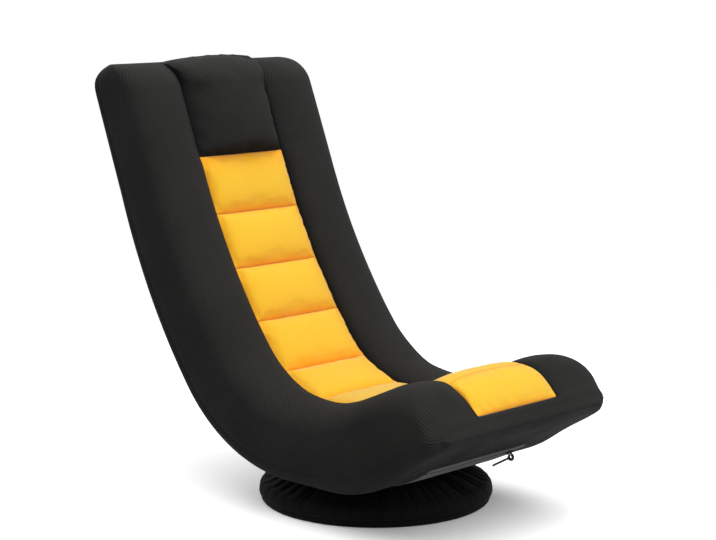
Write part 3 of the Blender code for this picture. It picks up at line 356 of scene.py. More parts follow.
    @staticmethod
    def walk(legs: Legs, arc: float) -> Point3:
        """Goes an arc length along straight runs and bends.

        Args:
            legs: Runs as (length, turn); the last one goes on past its end.
            arc: Distance to go.

        Returns:
            Distance along, rise and slope at that point.
        """
        along = rise = slope = 0.0
        left = arc
        for index, (length, turn) in enumerate(legs):
            step = left if index + 1 == len(legs) else min(left, length)
            if turn:
                radius = length / turn
                end = slope + step / radius
                along += radius * (math.sin(end) - math.sin(slope))
                rise += radius * (math.cos(slope) - math.cos(end))
                slope = end
            else:
                along += step * math.cos(slope)
                rise += step * math.sin(slope)
            left -= step
            if left <= 0:
                break
        return along, rise, slope

    def station(self, arc: float) -> tuple[Point2, Point2]:
        """Sitting point and outer point of the pad.

        Args:
            arc: Arc length, forwards positive and up the back negative.

        Returns:
            Both points as (Y, Z).
        """
        if arc >= 0:
            along, rise, _ = self.walk(self.seat_legs, arc)
            under, lift, _ = self.walk(self.under_legs, arc)
            return (-along, self.seat_z + rise), (-under, self.underside_z + lift)
        along, rise, slope = self.walk(self.back_legs, -arc)
        thick = self.thickness + (self.top_thickness - self.thickness) * -arc / self.back_length
        thick += self.crook_swell * math.sin(math.pi * min(1.0, -arc / self.lumbar_top))
        skew = self.top_skew * max(0.0, (-arc - self.lumbar_top) / self.back_straight)
        front = (along, self.seat_z + rise)
        outer_y = front[0] + thick * math.sin(slope) + skew * math.cos(slope)
        outer_z = front[1] - thick * math.cos(slope) + skew * math.sin(slope)
        return front, (outer_y, outer_z)

    def thick_at(self, arc: float) -> float:
        """Distance from the sitting point to the outer point at an arc length."""
        return math.dist(*self.station(arc))

    def roll_height(self, arc: float) -> float:
        """Height of the side rolls over the sitting line at an arc length."""
        return eased_along(self.roll_stations, arc)

    def edge_dip(self, arc: float) -> float:
        """Depth at which the strip's sides are sewn down, larger in the hollow behind the crest."""
        behind = ease((arc - self.seams[self.channel_count - 2]) / self.hollow_run)
        return self.seam_dip + self.hollow_dip * min(behind, ease((self.seams[-2] - arc) / self.hollow_run))

    def set_in(self, arc: float, line: Sequence[Point2]) -> np.ndarray:
        """Sets a line of a section into its plane.

        Args:
            arc: Arc length of the section.
            line: Points as (across, depth).

        Returns:
            The points in the row frame.
        """
        front, outer = self.station(arc)
        thick = math.dist(front, outer)
        down = ((outer[0] - front[0]) / thick, (outer[1] - front[1]) / thick)
        return np.array([(x, front[0] + down[0] * v, front[1] + down[1] * v) for x, v in line])


PAD = PadForm()


@dataclass(frozen=True)
class FoldZone:
    """Stretch of the pad that bends when the back folds on the seat; its pieces are only baked into the row
    frame and do not bend.
    """

    slope: float = math.radians(39.0)
    reach: float = 0.11

    def apply(self, piece: bpy.types.Object) -> None:
        """Bakes a finished mesh with no parent into the row frame."""
        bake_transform(piece)


FOLD = FoldZone()


def join(piece: bpy.types.Object, body: Body | None) -> None:
    """Joins a piece to what moves it.

    Args:
        piece: Finished mesh with no parent.
        body: Body that it rides on, or None where it lies in the bend between seat and back.
    """
    if body is None:
        FOLD.apply(piece)
    else:
        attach(piece, body.value)


# Materials


def add_node(tree: bpy.types.NodeTree, kind: str, **settings: object) -> bpy.types.Node:
    """Adds a node.

    Args:
        tree: Tree to add to.
        kind: Blender's node type.
        settings: Properties to set on it.

    Returns:
        The node.
    """
    made = tree.nodes.new(kind)
    for key, value in settings.items():
        setattr(made, key, value)
    return made


def seen_rays(tree: bpy.types.NodeTree) -> bpy.types.NodeSocket:
    """Tells the rays that show a surface from those that light others.

    Args:
        tree: Tree of the floor or the world.

    Returns:
        A value that is 1 for rays from the camera, through glass and off mirrors.
    """
    path = add_node(tree, "ShaderNodeLightPath")
    seen = path.outputs["Is Camera Ray"]
    for name in ("Is Transmission Ray", "Is Glossy Ray"):
        larger = add_node(tree, "ShaderNodeMath", operation="MAXIMUM")
        tree.links.new(seen, larger.inputs[0])
        tree.links.new(path.outputs[name], larger.inputs[1])
        seen = larger.outputs[0]
    return seen


class Shader:
    """Node tree of one material."""

    MIX_INPUTS = (0, 6, 7)
    MIX_OUTPUT = 2

    def __init__(self, name: str) -> None:
        """Starts a material with a Principled shader.

        Args:
            name: Name of the material.
        """
        self.material = bpy.data.materials.new(name)
        self.material.use_nodes = True
        self.tree = self.material.node_tree
        self.tree.nodes.clear()
        self.output = self.node("ShaderNodeOutputMaterial")
        self.surface = self.node("ShaderNodeBsdfPrincipled")
        self.put(self.output.inputs["Surface"], self.surface.outputs["BSDF"])

    def node(self, kind: str, **settings: object) -> bpy.types.Node:
        """Adds a node to the material."""
        return add_node(self.tree, kind, **settings)

    def put(self, socket: bpy.types.NodeSocket, value: object) -> None:
        """Links a socket or sets its value.

        Args:
            socket: Input to fill.
            value: An output socket, a number or a colour.
        """
        if isinstance(value, bpy.types.NodeSocket):
            self.tree.links.new(value, socket)
        elif isinstance(value, tuple) and len(value) == 3 and socket.type == "RGBA":
            socket.default_value = (*value, 1.0)
        else:
            socket.default_value = value

    def fill(self, values: dict[str, object]) -> None:
        """Sets or links inputs of the surface by their names."""
        for name, value in values.items():
            self.put(self.surface.inputs[name], value)

    def math(self, operation: str, *given: object) -> bpy.types.NodeSocket:
        """Adds a Math node.

        Args:
            operation: Blender's name of the operation.
            given: Its inputs in order.

        Returns:
            The result.
        """
        made = self.node("ShaderNodeMath", operation=operation)
        for socket, value in zip(made.inputs, given):
            self.put(socket, value)
        return made.outputs[0]

    def ramp(self, value: object, span: Point2) -> bpy.types.NodeSocket:
        """Eases a value into 0 to 1.

        Args:
            value: Input.
            span: Where the result is 0, and where it is 1.

        Returns:
            The result.
        """
        made = self.node("ShaderNodeMapRange", interpolation_type="SMOOTHSTEP")
        self.put(made.inputs["Value"], value)
        for name, end in zip(("From Min", "From Max"), span):
            self.put(made.inputs[name], end)
        return made.outputs["Result"]

    def mix(self, share: object, first: object, second: object) -> bpy.types.NodeSocket:
        """Mixes two colours.

        Args:
            share: Share of the second colour.
            first: First colour.
            second: Second colour.

        Returns:
            The mixed colour.
        """
        made = self.node("ShaderNodeMix", data_type="RGBA")
        for index, value in zip(self.MIX_INPUTS, (share, first, second)):
            self.put(made.inputs[index], value)
        return made.outputs[self.MIX_OUTPUT]

    def place(self) -> bpy.types.NodeSocket:
        """Place in the piece's own frame, in metres."""
        return self.node("ShaderNodeTexCoord").outputs["Object"]

    def crease_shade(self) -> bpy.types.NodeSocket:
        """Share of painted shade in creases, seams and folds at each point of the cloth."""
        return self.node("ShaderNodeAttribute", attribute_name=CREASE_SHADE_NAME).outputs["Fac"]

    def noise(self, cells: float, octaves: float) -> bpy.types.NodeSocket:
        """Soft noise in the piece's own frame.

        Args:
            cells: Cells in a metre.
            octaves: Levels of detail.

        Returns:
            A value from 0 to 1.
        """
        made = self.node("ShaderNodeTexNoise")
        for name, value in (("Vector", self.place()), ("Scale", cells), ("Detail", octaves)):
            self.put(made.inputs[name], value)
        return made.outputs["Fac"]

    def wave(self, value: object, pitch: float) -> bpy.types.NodeSocket:
        """Sine wave of a pitch along a direction in metres, from -1 to 1."""
        return self.math("SINE", self.math("MULTIPLY", value, TURN / pitch))

    def weave(self, pitch: float) -> tuple[bpy.types.NodeSocket, bpy.types.NodeSocket]:
        """Crossing waves on the piece's own UV map in metres.

        Args:
            pitch: Length of one wave in both directions.

        Returns:
            The product of both waves, and the metres along the cloth.
        """
        cloth = self.node("ShaderNodeUVMap", uv_map=UV_NAME)
        parts = self.node("ShaderNodeSeparateXYZ")
        self.put(parts.inputs[0], cloth.outputs["UV"])
        across, along = parts.outputs["X"], parts.outputs["Y"]
        return self.math("MULTIPLY", self.wave(across, pitch), self.wave(along, pitch)), along

    def bump(self, height: object, depth: float, strength: float) -> None:
        """Sets the surface's bump.

        Args:
            height: Height from 0 to 1.
            depth: Metres that a height of 1 stands for.
            strength: Share of the effect.
        """
        made = self.node("ShaderNodeBump")
        for name, value in (("Strength", strength), ("Distance", depth), ("Height", height)):
            self.put(made.inputs[name], value)
        self.fill({"Normal": made.outputs["Normal"]})


@dataclass(frozen=True)
class SpacerMesh:
    """Knitted 3-D mesh cloth with staggered holes; noises are (cells in a metre, octaves)."""

    yarn: Colour
    hollow: Colour
    # Colour of the painted shade in seams and valleys.
    crease_shade: Colour
    pitch: float
    roughness: float = 0.85
    rough_spread: float = 0.08
    specular: float = 0.2
    sheen: float = 0.05
    sheen_roughness: float = 0.45
    sheen_tint: Colour = (1.0, 1.0, 1.0)
    hole_span: Point2 = (0.15, 0.7)
    hole_share: float = 0.75
    ribs: int = 4
    rib_share: float = 0.12
    cloud: Point2 = (9.0, 3.0)
    cloud_span: Point2 = (0.3, 0.7)
    cloud_share: float = 0.10
    fuzz: Point2 = (1400.0, 2.0)
    fuzz_share: float = 0.35
    relief: float = 0.0007
    relief_share: float = 0.8

    def material(self, name: str) -> bpy.types.Material:
        """Builds the cloth's material.

        Args:
            name: Name of the material.

        Returns:
            The material, on the piece's own UV map in metres.
        """
        shader = Shader(name)
        cells, along = shader.weave(self.pitch)
        hole = shader.ramp(cells, self.hole_span)
        cloudy = shader.ramp(shader.noise(*self.cloud), self.cloud_span)
        tone = shader.mix(shader.math("MULTIPLY", cloudy, self.cloud_share), self.yarn, self.hollow)
        # Painted shade: the crease colour darkens the cloth where the crease attribute is high.
        wear_and_shade = shader.mix(shader.crease_shade(), tone, self.crease_shade)
        fuzz = shader.math("MULTIPLY", shader.noise(*self.fuzz), self.fuzz_share)
        yarns = shader.math("MULTIPLY_ADD", shader.wave(along, self.pitch / self.ribs), self.rib_share, fuzz)
        low = self.roughness - self.rough_spread / 2
        shader.bump(shader.math("SUBTRACT", yarns, hole), self.relief, self.relief_share)
        shader.fill(
            {
                "Base Color": shader.mix(shader.math("MULTIPLY", hole, self.hole_share), wear_and_shade, self.hollow),
                "Roughness": shader.math("MULTIPLY_ADD", cloudy, self.rough_spread, low),
                "Specular IOR Level": self.specular,
                "Sheen Weight": self.sheen,
                "Sheen Roughness": self.sheen_roughness,
                "Sheen Tint": self.sheen_tint,
            }
        )
        return shader.material


@dataclass(frozen=True)
class WovenCloth:
    """Flat woven cloth with crossing threads; noises are (cells in a metre, octaves)."""

    warp: Colour
    weft: Colour
    pitch: float = 0.0012
    roughness: float = 0.8
    rough_spread: float = 0.12
    specular: float = 0.3
    sheen: float = 0.08
    sheen_roughness: float = 0.5
    thread_span: Point2 = (-0.6, 0.6)
    slub: Point2 = (30.0, 4.0)
    slub_span: Point2 = (0.35, 0.75)
    slub_share: float = 0.35
    shade_share: float = 0.8
    shade_tone: float = 0.35
    fuzz: Point2 = (2200.0, 2.0)
    fuzz_share: float = 0.3
    depth: float = 0.0003
    relief_share: float = 0.7

    def material(self, name: str) -> bpy.types.Material:
        """Builds the cloth's material.

        Args:
            name: Name of the material.

        Returns:
            The material, on the piece's own UV map in metres.
        """
        shader = Shader(name)
        thread = shader.ramp(shader.weave(self.pitch * 2)[0], self.thread_span)
        cloudy = shader.noise(*self.slub)
        slub = shader.math("MULTIPLY", shader.ramp(cloudy, self.slub_span), self.slub_share)
        dusty = shader.mix(slub, shader.mix(thread, self.warp, self.weft), self.weft)
        # Painted shade: the cloth darkens towards a share of the warp colour where the crease attribute marks
        # folds, which only the skirt's gathers have.
        shade = shader.math("MULTIPLY", shader.crease_shade(), self.shade_share)
        dark = tuple(c * self.shade_tone for c in self.warp)
        fuzz = shader.math("MULTIPLY", shader.noise(*self.fuzz), self.fuzz_share)
        low = self.roughness - self.rough_spread / 2
        shader.bump(shader.math("ADD", thread, fuzz), self.depth, self.relief_share)
        shader.fill(
            {
                "Base Color": shader.mix(shade, dusty, dark),
                "Roughness": shader.math("MULTIPLY_ADD", cloudy, self.rough_spread, low),
                "Specular IOR Level": self.specular,
                "Sheen Weight": self.sheen,
                "Sheen Roughness": self.sheen_roughness,
            }
        )
        return shader.material


@dataclass(frozen=True)
class Metal:
    """Painted or plated steel; noises are (cells in a metre, octaves)."""

    colour: Colour
    wear_and_shade: Colour
    metallic: float
    roughness: float
    rough_spread: float = 0.25
    rough_drop: float = 0.12
    cloud: Point2 = (60.0, 5.0)
    cloud_span: Point2 = (0.35, 0.65)
    cloud_share: float = 0.35
    grain: Point2 = (350.0, 3.0)
    edge_span: Point2 = (0.53, 0.62)
    relief: float = 0.0002
    relief_share: float = 0.4

    def material(self, name: str) -> bpy.types.Material:
        """Builds the metal's material.

        Args:
            name: Name of the material.

        Returns:
            The material, in the piece's own frame.
        """
        shader = Shader(name)
        cloudy = shader.noise(*self.cloud)
        speck = shader.noise(*self.grain)
        edge = shader.ramp(shader.node("ShaderNodeNewGeometry").outputs["Pointiness"], self.edge_span)
        rubbed = shader.math("MULTIPLY", edge, shader.ramp(cloudy, self.cloud_span))
        patch = shader.mix(shader.math("MULTIPLY", cloudy, self.cloud_share), self.colour, self.wear_and_shade)
        low = self.roughness - self.rough_drop
        shader.bump(speck, self.relief, self.relief_share)
        shader.fill(
            {
                "Base Color": shader.mix(rubbed, patch, self.wear_and_shade),
                "Metallic": self.metallic,
                "Roughness": shader.math("MULTIPLY_ADD", speck, self.rough_spread, low),
            }
        )
        return shader.material


@dataclass(frozen=True)
class Thread:
    """Sewing thread with a twist; the noise is (cells in a metre, octaves)."""

    light: Colour
    dark: Colour
    strand: Point2 = (1500.0, 1.0)
    strand_span: Point2 = (0.35, 0.65)
    roughness: float = 0.5
    rough_spread: float = 0.2
    sheen: float = 0.03
    specular: float = 0.15
    relief: float = 0.0002
    relief_share: float = 0.6

    def material(self, name: str) -> bpy.types.Material:
        """Builds the thread's material.

        Args:
            name: Name of the material.

        Returns:
            body: Body that it rides on, or None where it lies in the bend between seat and back.
        """
        shader = Shader(name)
        strand = shader.ramp(shader.noise(*self.strand), self.strand_span)
        shader.bump(strand, self.relief, self.relief_share)
        shader.fill(
            {
                "Base Color": shader.mix(strand, self.light, self.dark),
                "Roughness": shader.math("MULTIPLY_ADD", strand, self.rough_spread, self.roughness),
                "Sheen Weight": self.sheen,
                "Specular IOR Level": self.specular,
            }
        )
        return shader.material


class Finishes:
    """All materials of the chair, each built once."""

    LOOKS: dict[Slot, SpacerMesh | WovenCloth | Metal] = {
        # Each mesh cloth's third colour is painted shade: near black on the black mesh, deep orange on the
        # yellow.
        Slot.BLACK_MESH: SpacerMesh(
            (0.0270, 0.0268, 0.0257), grey(0.002), grey(0.008), 0.0058, specular=0.05, sheen=0.015
        ),
        Slot.YELLOW_MESH: SpacerMesh(
            (0.93, 0.56, 0.032),
            (0.82, 0.44, 0.018),
            (1.0, 0.37, 0.008),
            0.0042,
            sheen=0.48,
            sheen_roughness=0.3,
            sheen_tint=(1.0, 0.97, 0.9),
        ),
        Slot.GREY_CLOTH: WovenCloth((0.205, 0.208, 0.216), (0.145, 0.147, 0.154)),
        Slot.SKIRT_CLOTH: WovenCloth(grey(0.008), grey(0.004), pitch=0.0016, specular=0.05, sheen=0.015),
        Slot.WEBBING: WovenCloth((0.12, 0.12, 0.125), (0.07, 0.07, 0.072), pitch=0.003, depth=0.0006),
        Slot.RUBBER: WovenCloth(grey(0.030), grey(0.016), pitch=0.004, depth=0.0008),
        Slot.FRAME_PAINT: Metal((0.022, 0.022, 0.024), (0.05, 0.05, 0.052), 0.0, 0.5),
        Slot.ZINC_STEEL: Metal((0.60, 0.60, 0.62), (0.72, 0.72, 0.74), 1.0, 0.38),
        Slot.ZIP_METAL: Metal((0.010, 0.010, 0.011), (0.035, 0.035, 0.038), 0.2, 0.6),
    }
    THREADS: dict[str, Thread] = {
        "yellow_thread": Thread((0.84, 0.42, 0.018), (0.72, 0.33, 0.012)),
        "black_thread": Thread(grey(0.008), grey(0.004)),
        "grey_thread": Thread((0.11, 0.11, 0.115), (0.06, 0.06, 0.062)),
    }

    def __init__(self) -> None:
        """Builds the materials."""
        self.by_slot = {slot: look.material(slot.value) for slot, look in self.LOOKS.items()}
        self.threads = {name: look.material(name) for name, look in self.THREADS.items()}

    def fit(
        self, piece: bpy.types.Object, slot: Slot, body: Body | None, *solids: str, fill: float | None = None
    ) -> None:
        """Dresses a piece, puts it in the place of solids and joins it to what moves it.

        Args:
            piece: Mesh object.
            slot: Slot of the record.
            body: Body that it rides on, or None where it lies in the bend between seat and back.
            solids: Solids that it stands for.
            fill: Share of its room that padding fills, where it is padded; not used.
        """
        piece.data.materials.clear()
        piece.data.materials.append(self.by_slot[slot])
        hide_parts(*solids)
        join(piece, body)


# Mesh tools


def ring_faces(count: int, size: int, first: int = 0, closed: bool = False) -> list[list[int]]:
    """Quads between neighbouring rings of points.

    Args:
        count: Number of rings.
        size: Points in each ring.
        first: Number of the first point.
        closed: True where the last ring meets the first.

    Returns:
        The corners of each quad.
    """
    faces = []
    for i in range(count if closed else count - 1):
        low, high = first + i * size, first + (i + 1) % count * size
        for j in range(size):
            after = (j + 1) % size
            faces.append([low + j, low + after, high + after, high + j])
    return faces


@dataclass
class Skin:
    """Closed skin through rings of equal point count, with cloth lengths for its UV map."""

    rings: np.ndarray
    around: np.ndarray
    along: np.ndarray
    # Share of painted shade at each point.
    crease_shade: np.ndarray
    closed: bool = False

    @classmethod
    def through(cls, rings: Sequence[np.ndarray], along: Sequence[float], closed: bool = False) -> "Skin":
        """Measures a skin through rings.

        Args:
            rings: Rings of points in the row frame.
            along: Length along the cloth of each ring, and of the way back to the first where it is closed.
            closed: True where the last ring meets the first.

        Returns:
            The skin.
        """
        points = np.array(rings)
        steps = np.linalg.norm(np.roll(points, -1, axis=1) - points, axis=2)
        around = np.concatenate([np.zeros((len(points), 1)), np.cumsum(steps, axis=1)], axis=1)
        return cls(points, around, np.array(along, float), np.zeros(points.shape[:2]), closed)

    def piece(self, name: str) -> bpy.types.Object:
        """Makes the mesh object.

        Args:
            name: Name of the piece.

        Returns:
            The object, at the origin, with smooth faces turned outward.
        """
        count, size = self.rings.shape[:2]
        faces = ring_faces(count, size, closed=self.closed)
        cloth: list[Point2] = []
        for i in range(count if self.closed else count - 1):
            here, there = self.around[i], self.around[(i + 1) % count]
            start, end = self.along[i], self.along[i + 1]
            for j in range(size):
                cloth += [(here[j], start), (here[j + 1], start), (there[j + 1], end), (there[j], end)]
        if not self.closed:
            for i in (0, count - 1):
                faces.append([i * size + j for j in range(size)])
                cloth += [(self.around[i, j], self.along[i]) for j in range(size)]
        mesh = bpy.data.meshes.new(name)
        mesh.from_pydata(self.rings.reshape(-1, 3).tolist(), [], faces)
        layer = mesh.uv_layers.new(name=UV_NAME)
        layer.data.foreach_set("uv", np.array(cloth, np.float32).ravel())
        crease_shade = mesh.attributes.new(CREASE_SHADE_NAME, "FLOAT", "POINT")
        crease_shade.data.foreach_set("value", self.crease_shade.astype(np.float32).ravel())
        return finished(name, mesh)


def linked(name: str, data: bpy.types.ID) -> bpy.types.Object:
    """Puts an object into the scene.

    Args:
        name: Name of the object.
        data: Its mesh, light or camera.

    Returns:
        The object.
    """
    made = bpy.data.objects.new(name, data)
    bpy.context.scene.collection.objects.link(made)
    return made


def poured(name: str, work: bmesh.types.BMesh) -> bpy.types.Mesh:
    """Turns a working mesh into a plain one.

    Args:
        name: Name of the mesh.
        work: Working mesh, which is freed.

    Returns:
        The mesh.
    """
    mesh = bpy.data.meshes.new(name)
    work.to_mesh(mesh)
    work.free()
    return mesh


def finished(name: str, mesh: bpy.types.Mesh) -> bpy.types.Object:
    """Turns the faces outward, smooths them and puts the mesh in the scene.

    Args:
        name: Name of the object.
        mesh: The mesh.

    Returns:
        The object.
    """
    work = bmesh.new()
    work.from_mesh(mesh)
    bmesh.ops.recalc_face_normals(work, faces=work.faces)
    work.to_mesh(mesh)
    work.free()
    mesh.polygons.foreach_set("use_smooth", [True] * len(mesh.polygons))
    mesh.update()
    LOG.info("%s: %d faces", name, len(mesh.polygons))
    return linked(name, mesh)


def bevelled_block(
    work: bmesh.types.BMesh, spans: Sequence[Point2], place: Callable[[Vector], Vector]
) -> None:
    """Adds a box with rounded edges.

    Args:
        work: Mesh to add to.
        spans: Low and high end in each of the three directions.
        place: Moves a point of the box into the row frame.
    """
    made = bmesh.ops.create_cube(work, size=1.0)
    low = Vector([a for a, _ in spans])
    size = Vector([b - a for a, b in spans])
    for vertex in made["verts"]:
        local = vertex.co + Vector((0.5, 0.5, 0.5))
        vertex.co = low + Vector([a * b for a, b in zip(local, size)])
    result = bmesh.ops.bevel(
        work,
        geom=list({edge for vertex in made["verts"] for edge in vertex.link_edges}),
        offset=min(size) * BEVEL_SHARE,
        segments=BEVEL_STEPS,
        profile=BEVEL_PROFILE,
        affect="EDGES",
        clamp_overlap=True,
    )
    for vertex in {v for v in made["verts"] if v.is_valid} | set(result["verts"]):
        vertex.co = place(vertex.co)


@dataclass(frozen=True)
class Stitch:
    """Small form that repeats along a line: its step, its size and how far neighbours stand aside."""

    spacing: float
    length: float
    width: float
    height: float
    stagger: float = 0.0


SEAM_STITCH = Stitch(0.0042, 0.0033, 0.0009, 0.0009)
HEM_STITCH = Stitch(0.0045, 0.0034, 0.0009, 0.0008)
SKIRT_STITCH = Stitch(0.0045, 0.0034, 0.0008, 0.0008)
ZIP_TOOTH = Stitch(0.0016, 0.0013, 0.0018, 0.0012, 0.0009)


class NodeTool:
    """Geometry Nodes tree that repeats a small form along lines."""

    SIZES = ("Spacing", "Length", "Width", "Height", "Stagger")
    SEGMENTS = 8
    RINGS = 6

    def __init__(self, name: str) -> None:
        """Starts the tree.

        Args:
            name: Name of the tree.
        """
        self.tree = bpy.data.node_groups.new(name, "GeometryNodeTree")
        self.inputs: dict[str, str] = {}
        face = self.tree.interface
        face.new_socket("Lines", in_out="INPUT", socket_type="NodeSocketGeometry")
        for label in self.SIZES:
            made = face.new_socket(label, in_out="INPUT", socket_type="NodeSocketFloat")
            self.inputs[label] = made.identifier
        made = face.new_socket("Finish", in_out="INPUT", socket_type="NodeSocketMaterial")
        self.inputs["Finish"] = made.identifier
        face.new_socket("Result", in_out="OUTPUT", socket_type="NodeSocketGeometry")
        self.build()

    def node(self, kind: str, **settings: object) -> bpy.types.Node:
        """Adds a node to the tree."""
        return add_node(self.tree, kind, **settings)

    def build(self) -> None:
        """Links the tree: points at even steps, a rounded form on each, set to each side in turn."""
        given = self.node("NodeGroupInput")
        curve = self.node("GeometryNodeMeshToCurve")
        points = self.node("GeometryNodeResampleCurve", mode="LENGTH")
        form = self.node("GeometryNodeMeshUVSphere")
        form.inputs["Segments"].default_value = self.SEGMENTS
        form.inputs["Rings"].default_value = self.RINGS
        form.inputs["Radius"].default_value = 0.5
        size = self.node("ShaderNodeCombineXYZ")
        turn = self.node("FunctionNodeAlignRotationToVector", axis="X")
        tangent = self.node("GeometryNodeInputTangent")
        spread = self.node("GeometryNodeInstanceOnPoints")
        index = self.node("GeometryNodeInputIndex")
        parity = self.node("ShaderNodeMath", operation="MODULO")
        parity.inputs[1].default_value = 2.0
        centred = self.node("ShaderNodeMath", operation="SUBTRACT")
        centred.inputs[1].default_value = 0.5
        sideways = self.node("ShaderNodeMath", operation="MULTIPLY")
        shift = self.node("ShaderNodeCombineXYZ")
        move = self.node("GeometryNodeTranslateInstances")
        real = self.node("GeometryNodeRealizeInstances")
        smooth = self.node("GeometryNodeSetShadeSmooth")
        finish = self.node("GeometryNodeSetMaterial")
        out = self.node("NodeGroupOutput")
        links = (
            (given, "Lines", curve, "Mesh"),
            (curve, "Curve", points, "Curve"),
            (given, "Spacing", points, "Length"),
            (given, "Length", size, "X"),
            (given, "Width", size, "Y"),
            (given, "Height", size, "Z"),
            (tangent, "Tangent", turn, "Vector"),
            (points, "Curve", spread, "Points"),
            (form, "Mesh", spread, "Instance"),
            (turn, "Rotation", spread, "Rotation"),
            (size, "Vector", spread, "Scale"),
            (index, "Index", parity, 0),
            (parity, 0, centred, 0),
            (centred, 0, sideways, 0),
            (given, "Stagger", sideways, 1),
            (sideways, 0, shift, "Y"),
            (spread, "Instances", move, "Instances"),
            (shift, "Vector", move, "Translation"),
            (move, "Instances", real, "Geometry"),
            (real, "Geometry", smooth, "Geometry"),
            (smooth, "Geometry", finish, "Geometry"),
            (given, "Finish", finish, "Material"),
            (finish, "Geometry", out, "Result"),
        )
        for source, result, target, entry in links:
            self.tree.links.new(source.outputs[result], target.inputs[entry])

    def run(
        self, name: str, lines: Sequence[np.ndarray], material: bpy.types.Material, stitch: Stitch
    ) -> bpy.types.Object:
        """Repeats the form along lines.

        Args:
            name: Name of the piece.
            lines: Lines of points in the row frame.
            material: Material of the forms.
            stitch: Step and size of the forms.

        Returns:
            A plain mesh object.
        """
        points: list[list[float]] = []
        edges: list[tuple[int, int]] = []
        for line in lines:
            first = len(points)
            points += np.asarray(line).tolist()
            edges += [(k, k + 1) for k in range(first, len(points) - 1)]
        mesh = bpy.data.meshes.new(name)
        mesh.from_pydata(points, edges, [])
        source = linked(f"{name}_lines", mesh)
        modifier = source.modifiers.new("repeat", "NODES")
        modifier.node_group = self.tree
        for label in self.SIZES:
            modifier[self.inputs[label]] = getattr(stitch, label.lower())
        modifier[self.inputs["Finish"]] = material
        graph = bpy.context.evaluated_depsgraph_get()
        result = bpy.data.meshes.new_from_object(source.evaluated_get(graph))
        bpy.data.objects.remove(source)
        result.name = name
        LOG.info("%s: %d faces along %d lines", name, len(result.polygons), len(lines))
        return linked(name, result)


@dataclass
class SoftPart:
    """One sewn piece for the cloth solver: its skin, which points are sewn down and how far it may move."""

    name: str
    skin: Skin
    sewn: np.ndarray
    most: float


@dataclass(frozen=True)
class ClothPress:
    """Inflates sewn pieces with the cloth solver."""

    frames: int = 20
    group: str = "sewn"
    settings: tuple[tuple[str, object], ...] = (
        ("quality", 6),
        ("mass", 0.2),
        ("tension_stiffness", 25),
        ("compression_stiffness", 20),
        ("shear_stiffness", 10),
        ("bending_stiffness", 2.0),
        ("use_pressure", True),
        ("uniform_pressure_force", 4.0),
        ("shrink_min", -0.02),
    )

    def settle(self, parts: Sequence[SoftPart]) -> None:
        """Runs the solver on all pieces at once and moves their skins.

        Args:
            parts: Pieces, each moved by no more than its own limit.
        """
        moved = self.solved(parts)
        start = 0
        for part in parts:
            rest = part.skin.rings.reshape(-1, 3)
            shift = moved[start : start + len(rest)] - rest
            start += len(rest)
            length = np.linalg.norm(shift, axis=1, keepdims=True)
            limit = part.most * np.tanh(length / part.most)
            shift *= limit / np.maximum(length, 1e-9)
            shift[part.sewn.ravel()] = 0.0
            part.skin.rings = (rest + shift).reshape(part.skin.rings.shape)
            LOG.info("%s: cloth moved up to %.1f mm", part.name, 1000 * float(limit.max()))

    def solved(self, parts: Sequence[SoftPart]) -> np.ndarray:
        """Runs the solver.

        Args:
            parts: Pieces to inflate.

        Returns:
            Places of all their points, one piece after the other.
        """
        points: list[list[float]] = []
        faces: list[list[int]] = []
        sewn: list[int] = []
        for part in parts:
            first = len(points)
            points += part.skin.rings.reshape(-1, 3).tolist()
            faces += ring_faces(*part.skin.rings.shape[:2], first)
            sewn += [first + int(k) for k in np.flatnonzero(part.sewn.ravel())]
        mesh = bpy.data.meshes.new("press")
        mesh.from_pydata(points, [], faces)
        body = finished("press", mesh)
        body.vertex_groups.new(name=self.group).add(sewn, 1.0, "REPLACE")
        modifier = body.modifiers.new("cloth", "CLOTH")
        for key, value in self.settings:
            setattr(modifier.settings, key, value)
        modifier.settings.effector_weights.gravity = 0.0
        modifier.settings.vertex_group_mass = self.group
        modifier.collision_settings.use_collision = False
        modifier.point_cache.frame_start = 1
        modifier.point_cache.frame_end = self.frames
        scene = bpy.context.scene
        for frame in range(1, self.frames + 1):
            scene.frame_set(frame)
        result = body.evaluated_get(bpy.context.evaluated_depsgraph_get()).data
        moved = np.empty(len(result.vertices) * 3, np.float32)
        result.vertices.foreach_get("co", moved)
        bpy.data.objects.remove(body)
        scene.frame_set(1)
        return moved.reshape(-1, 3).astype(float)


# Pad


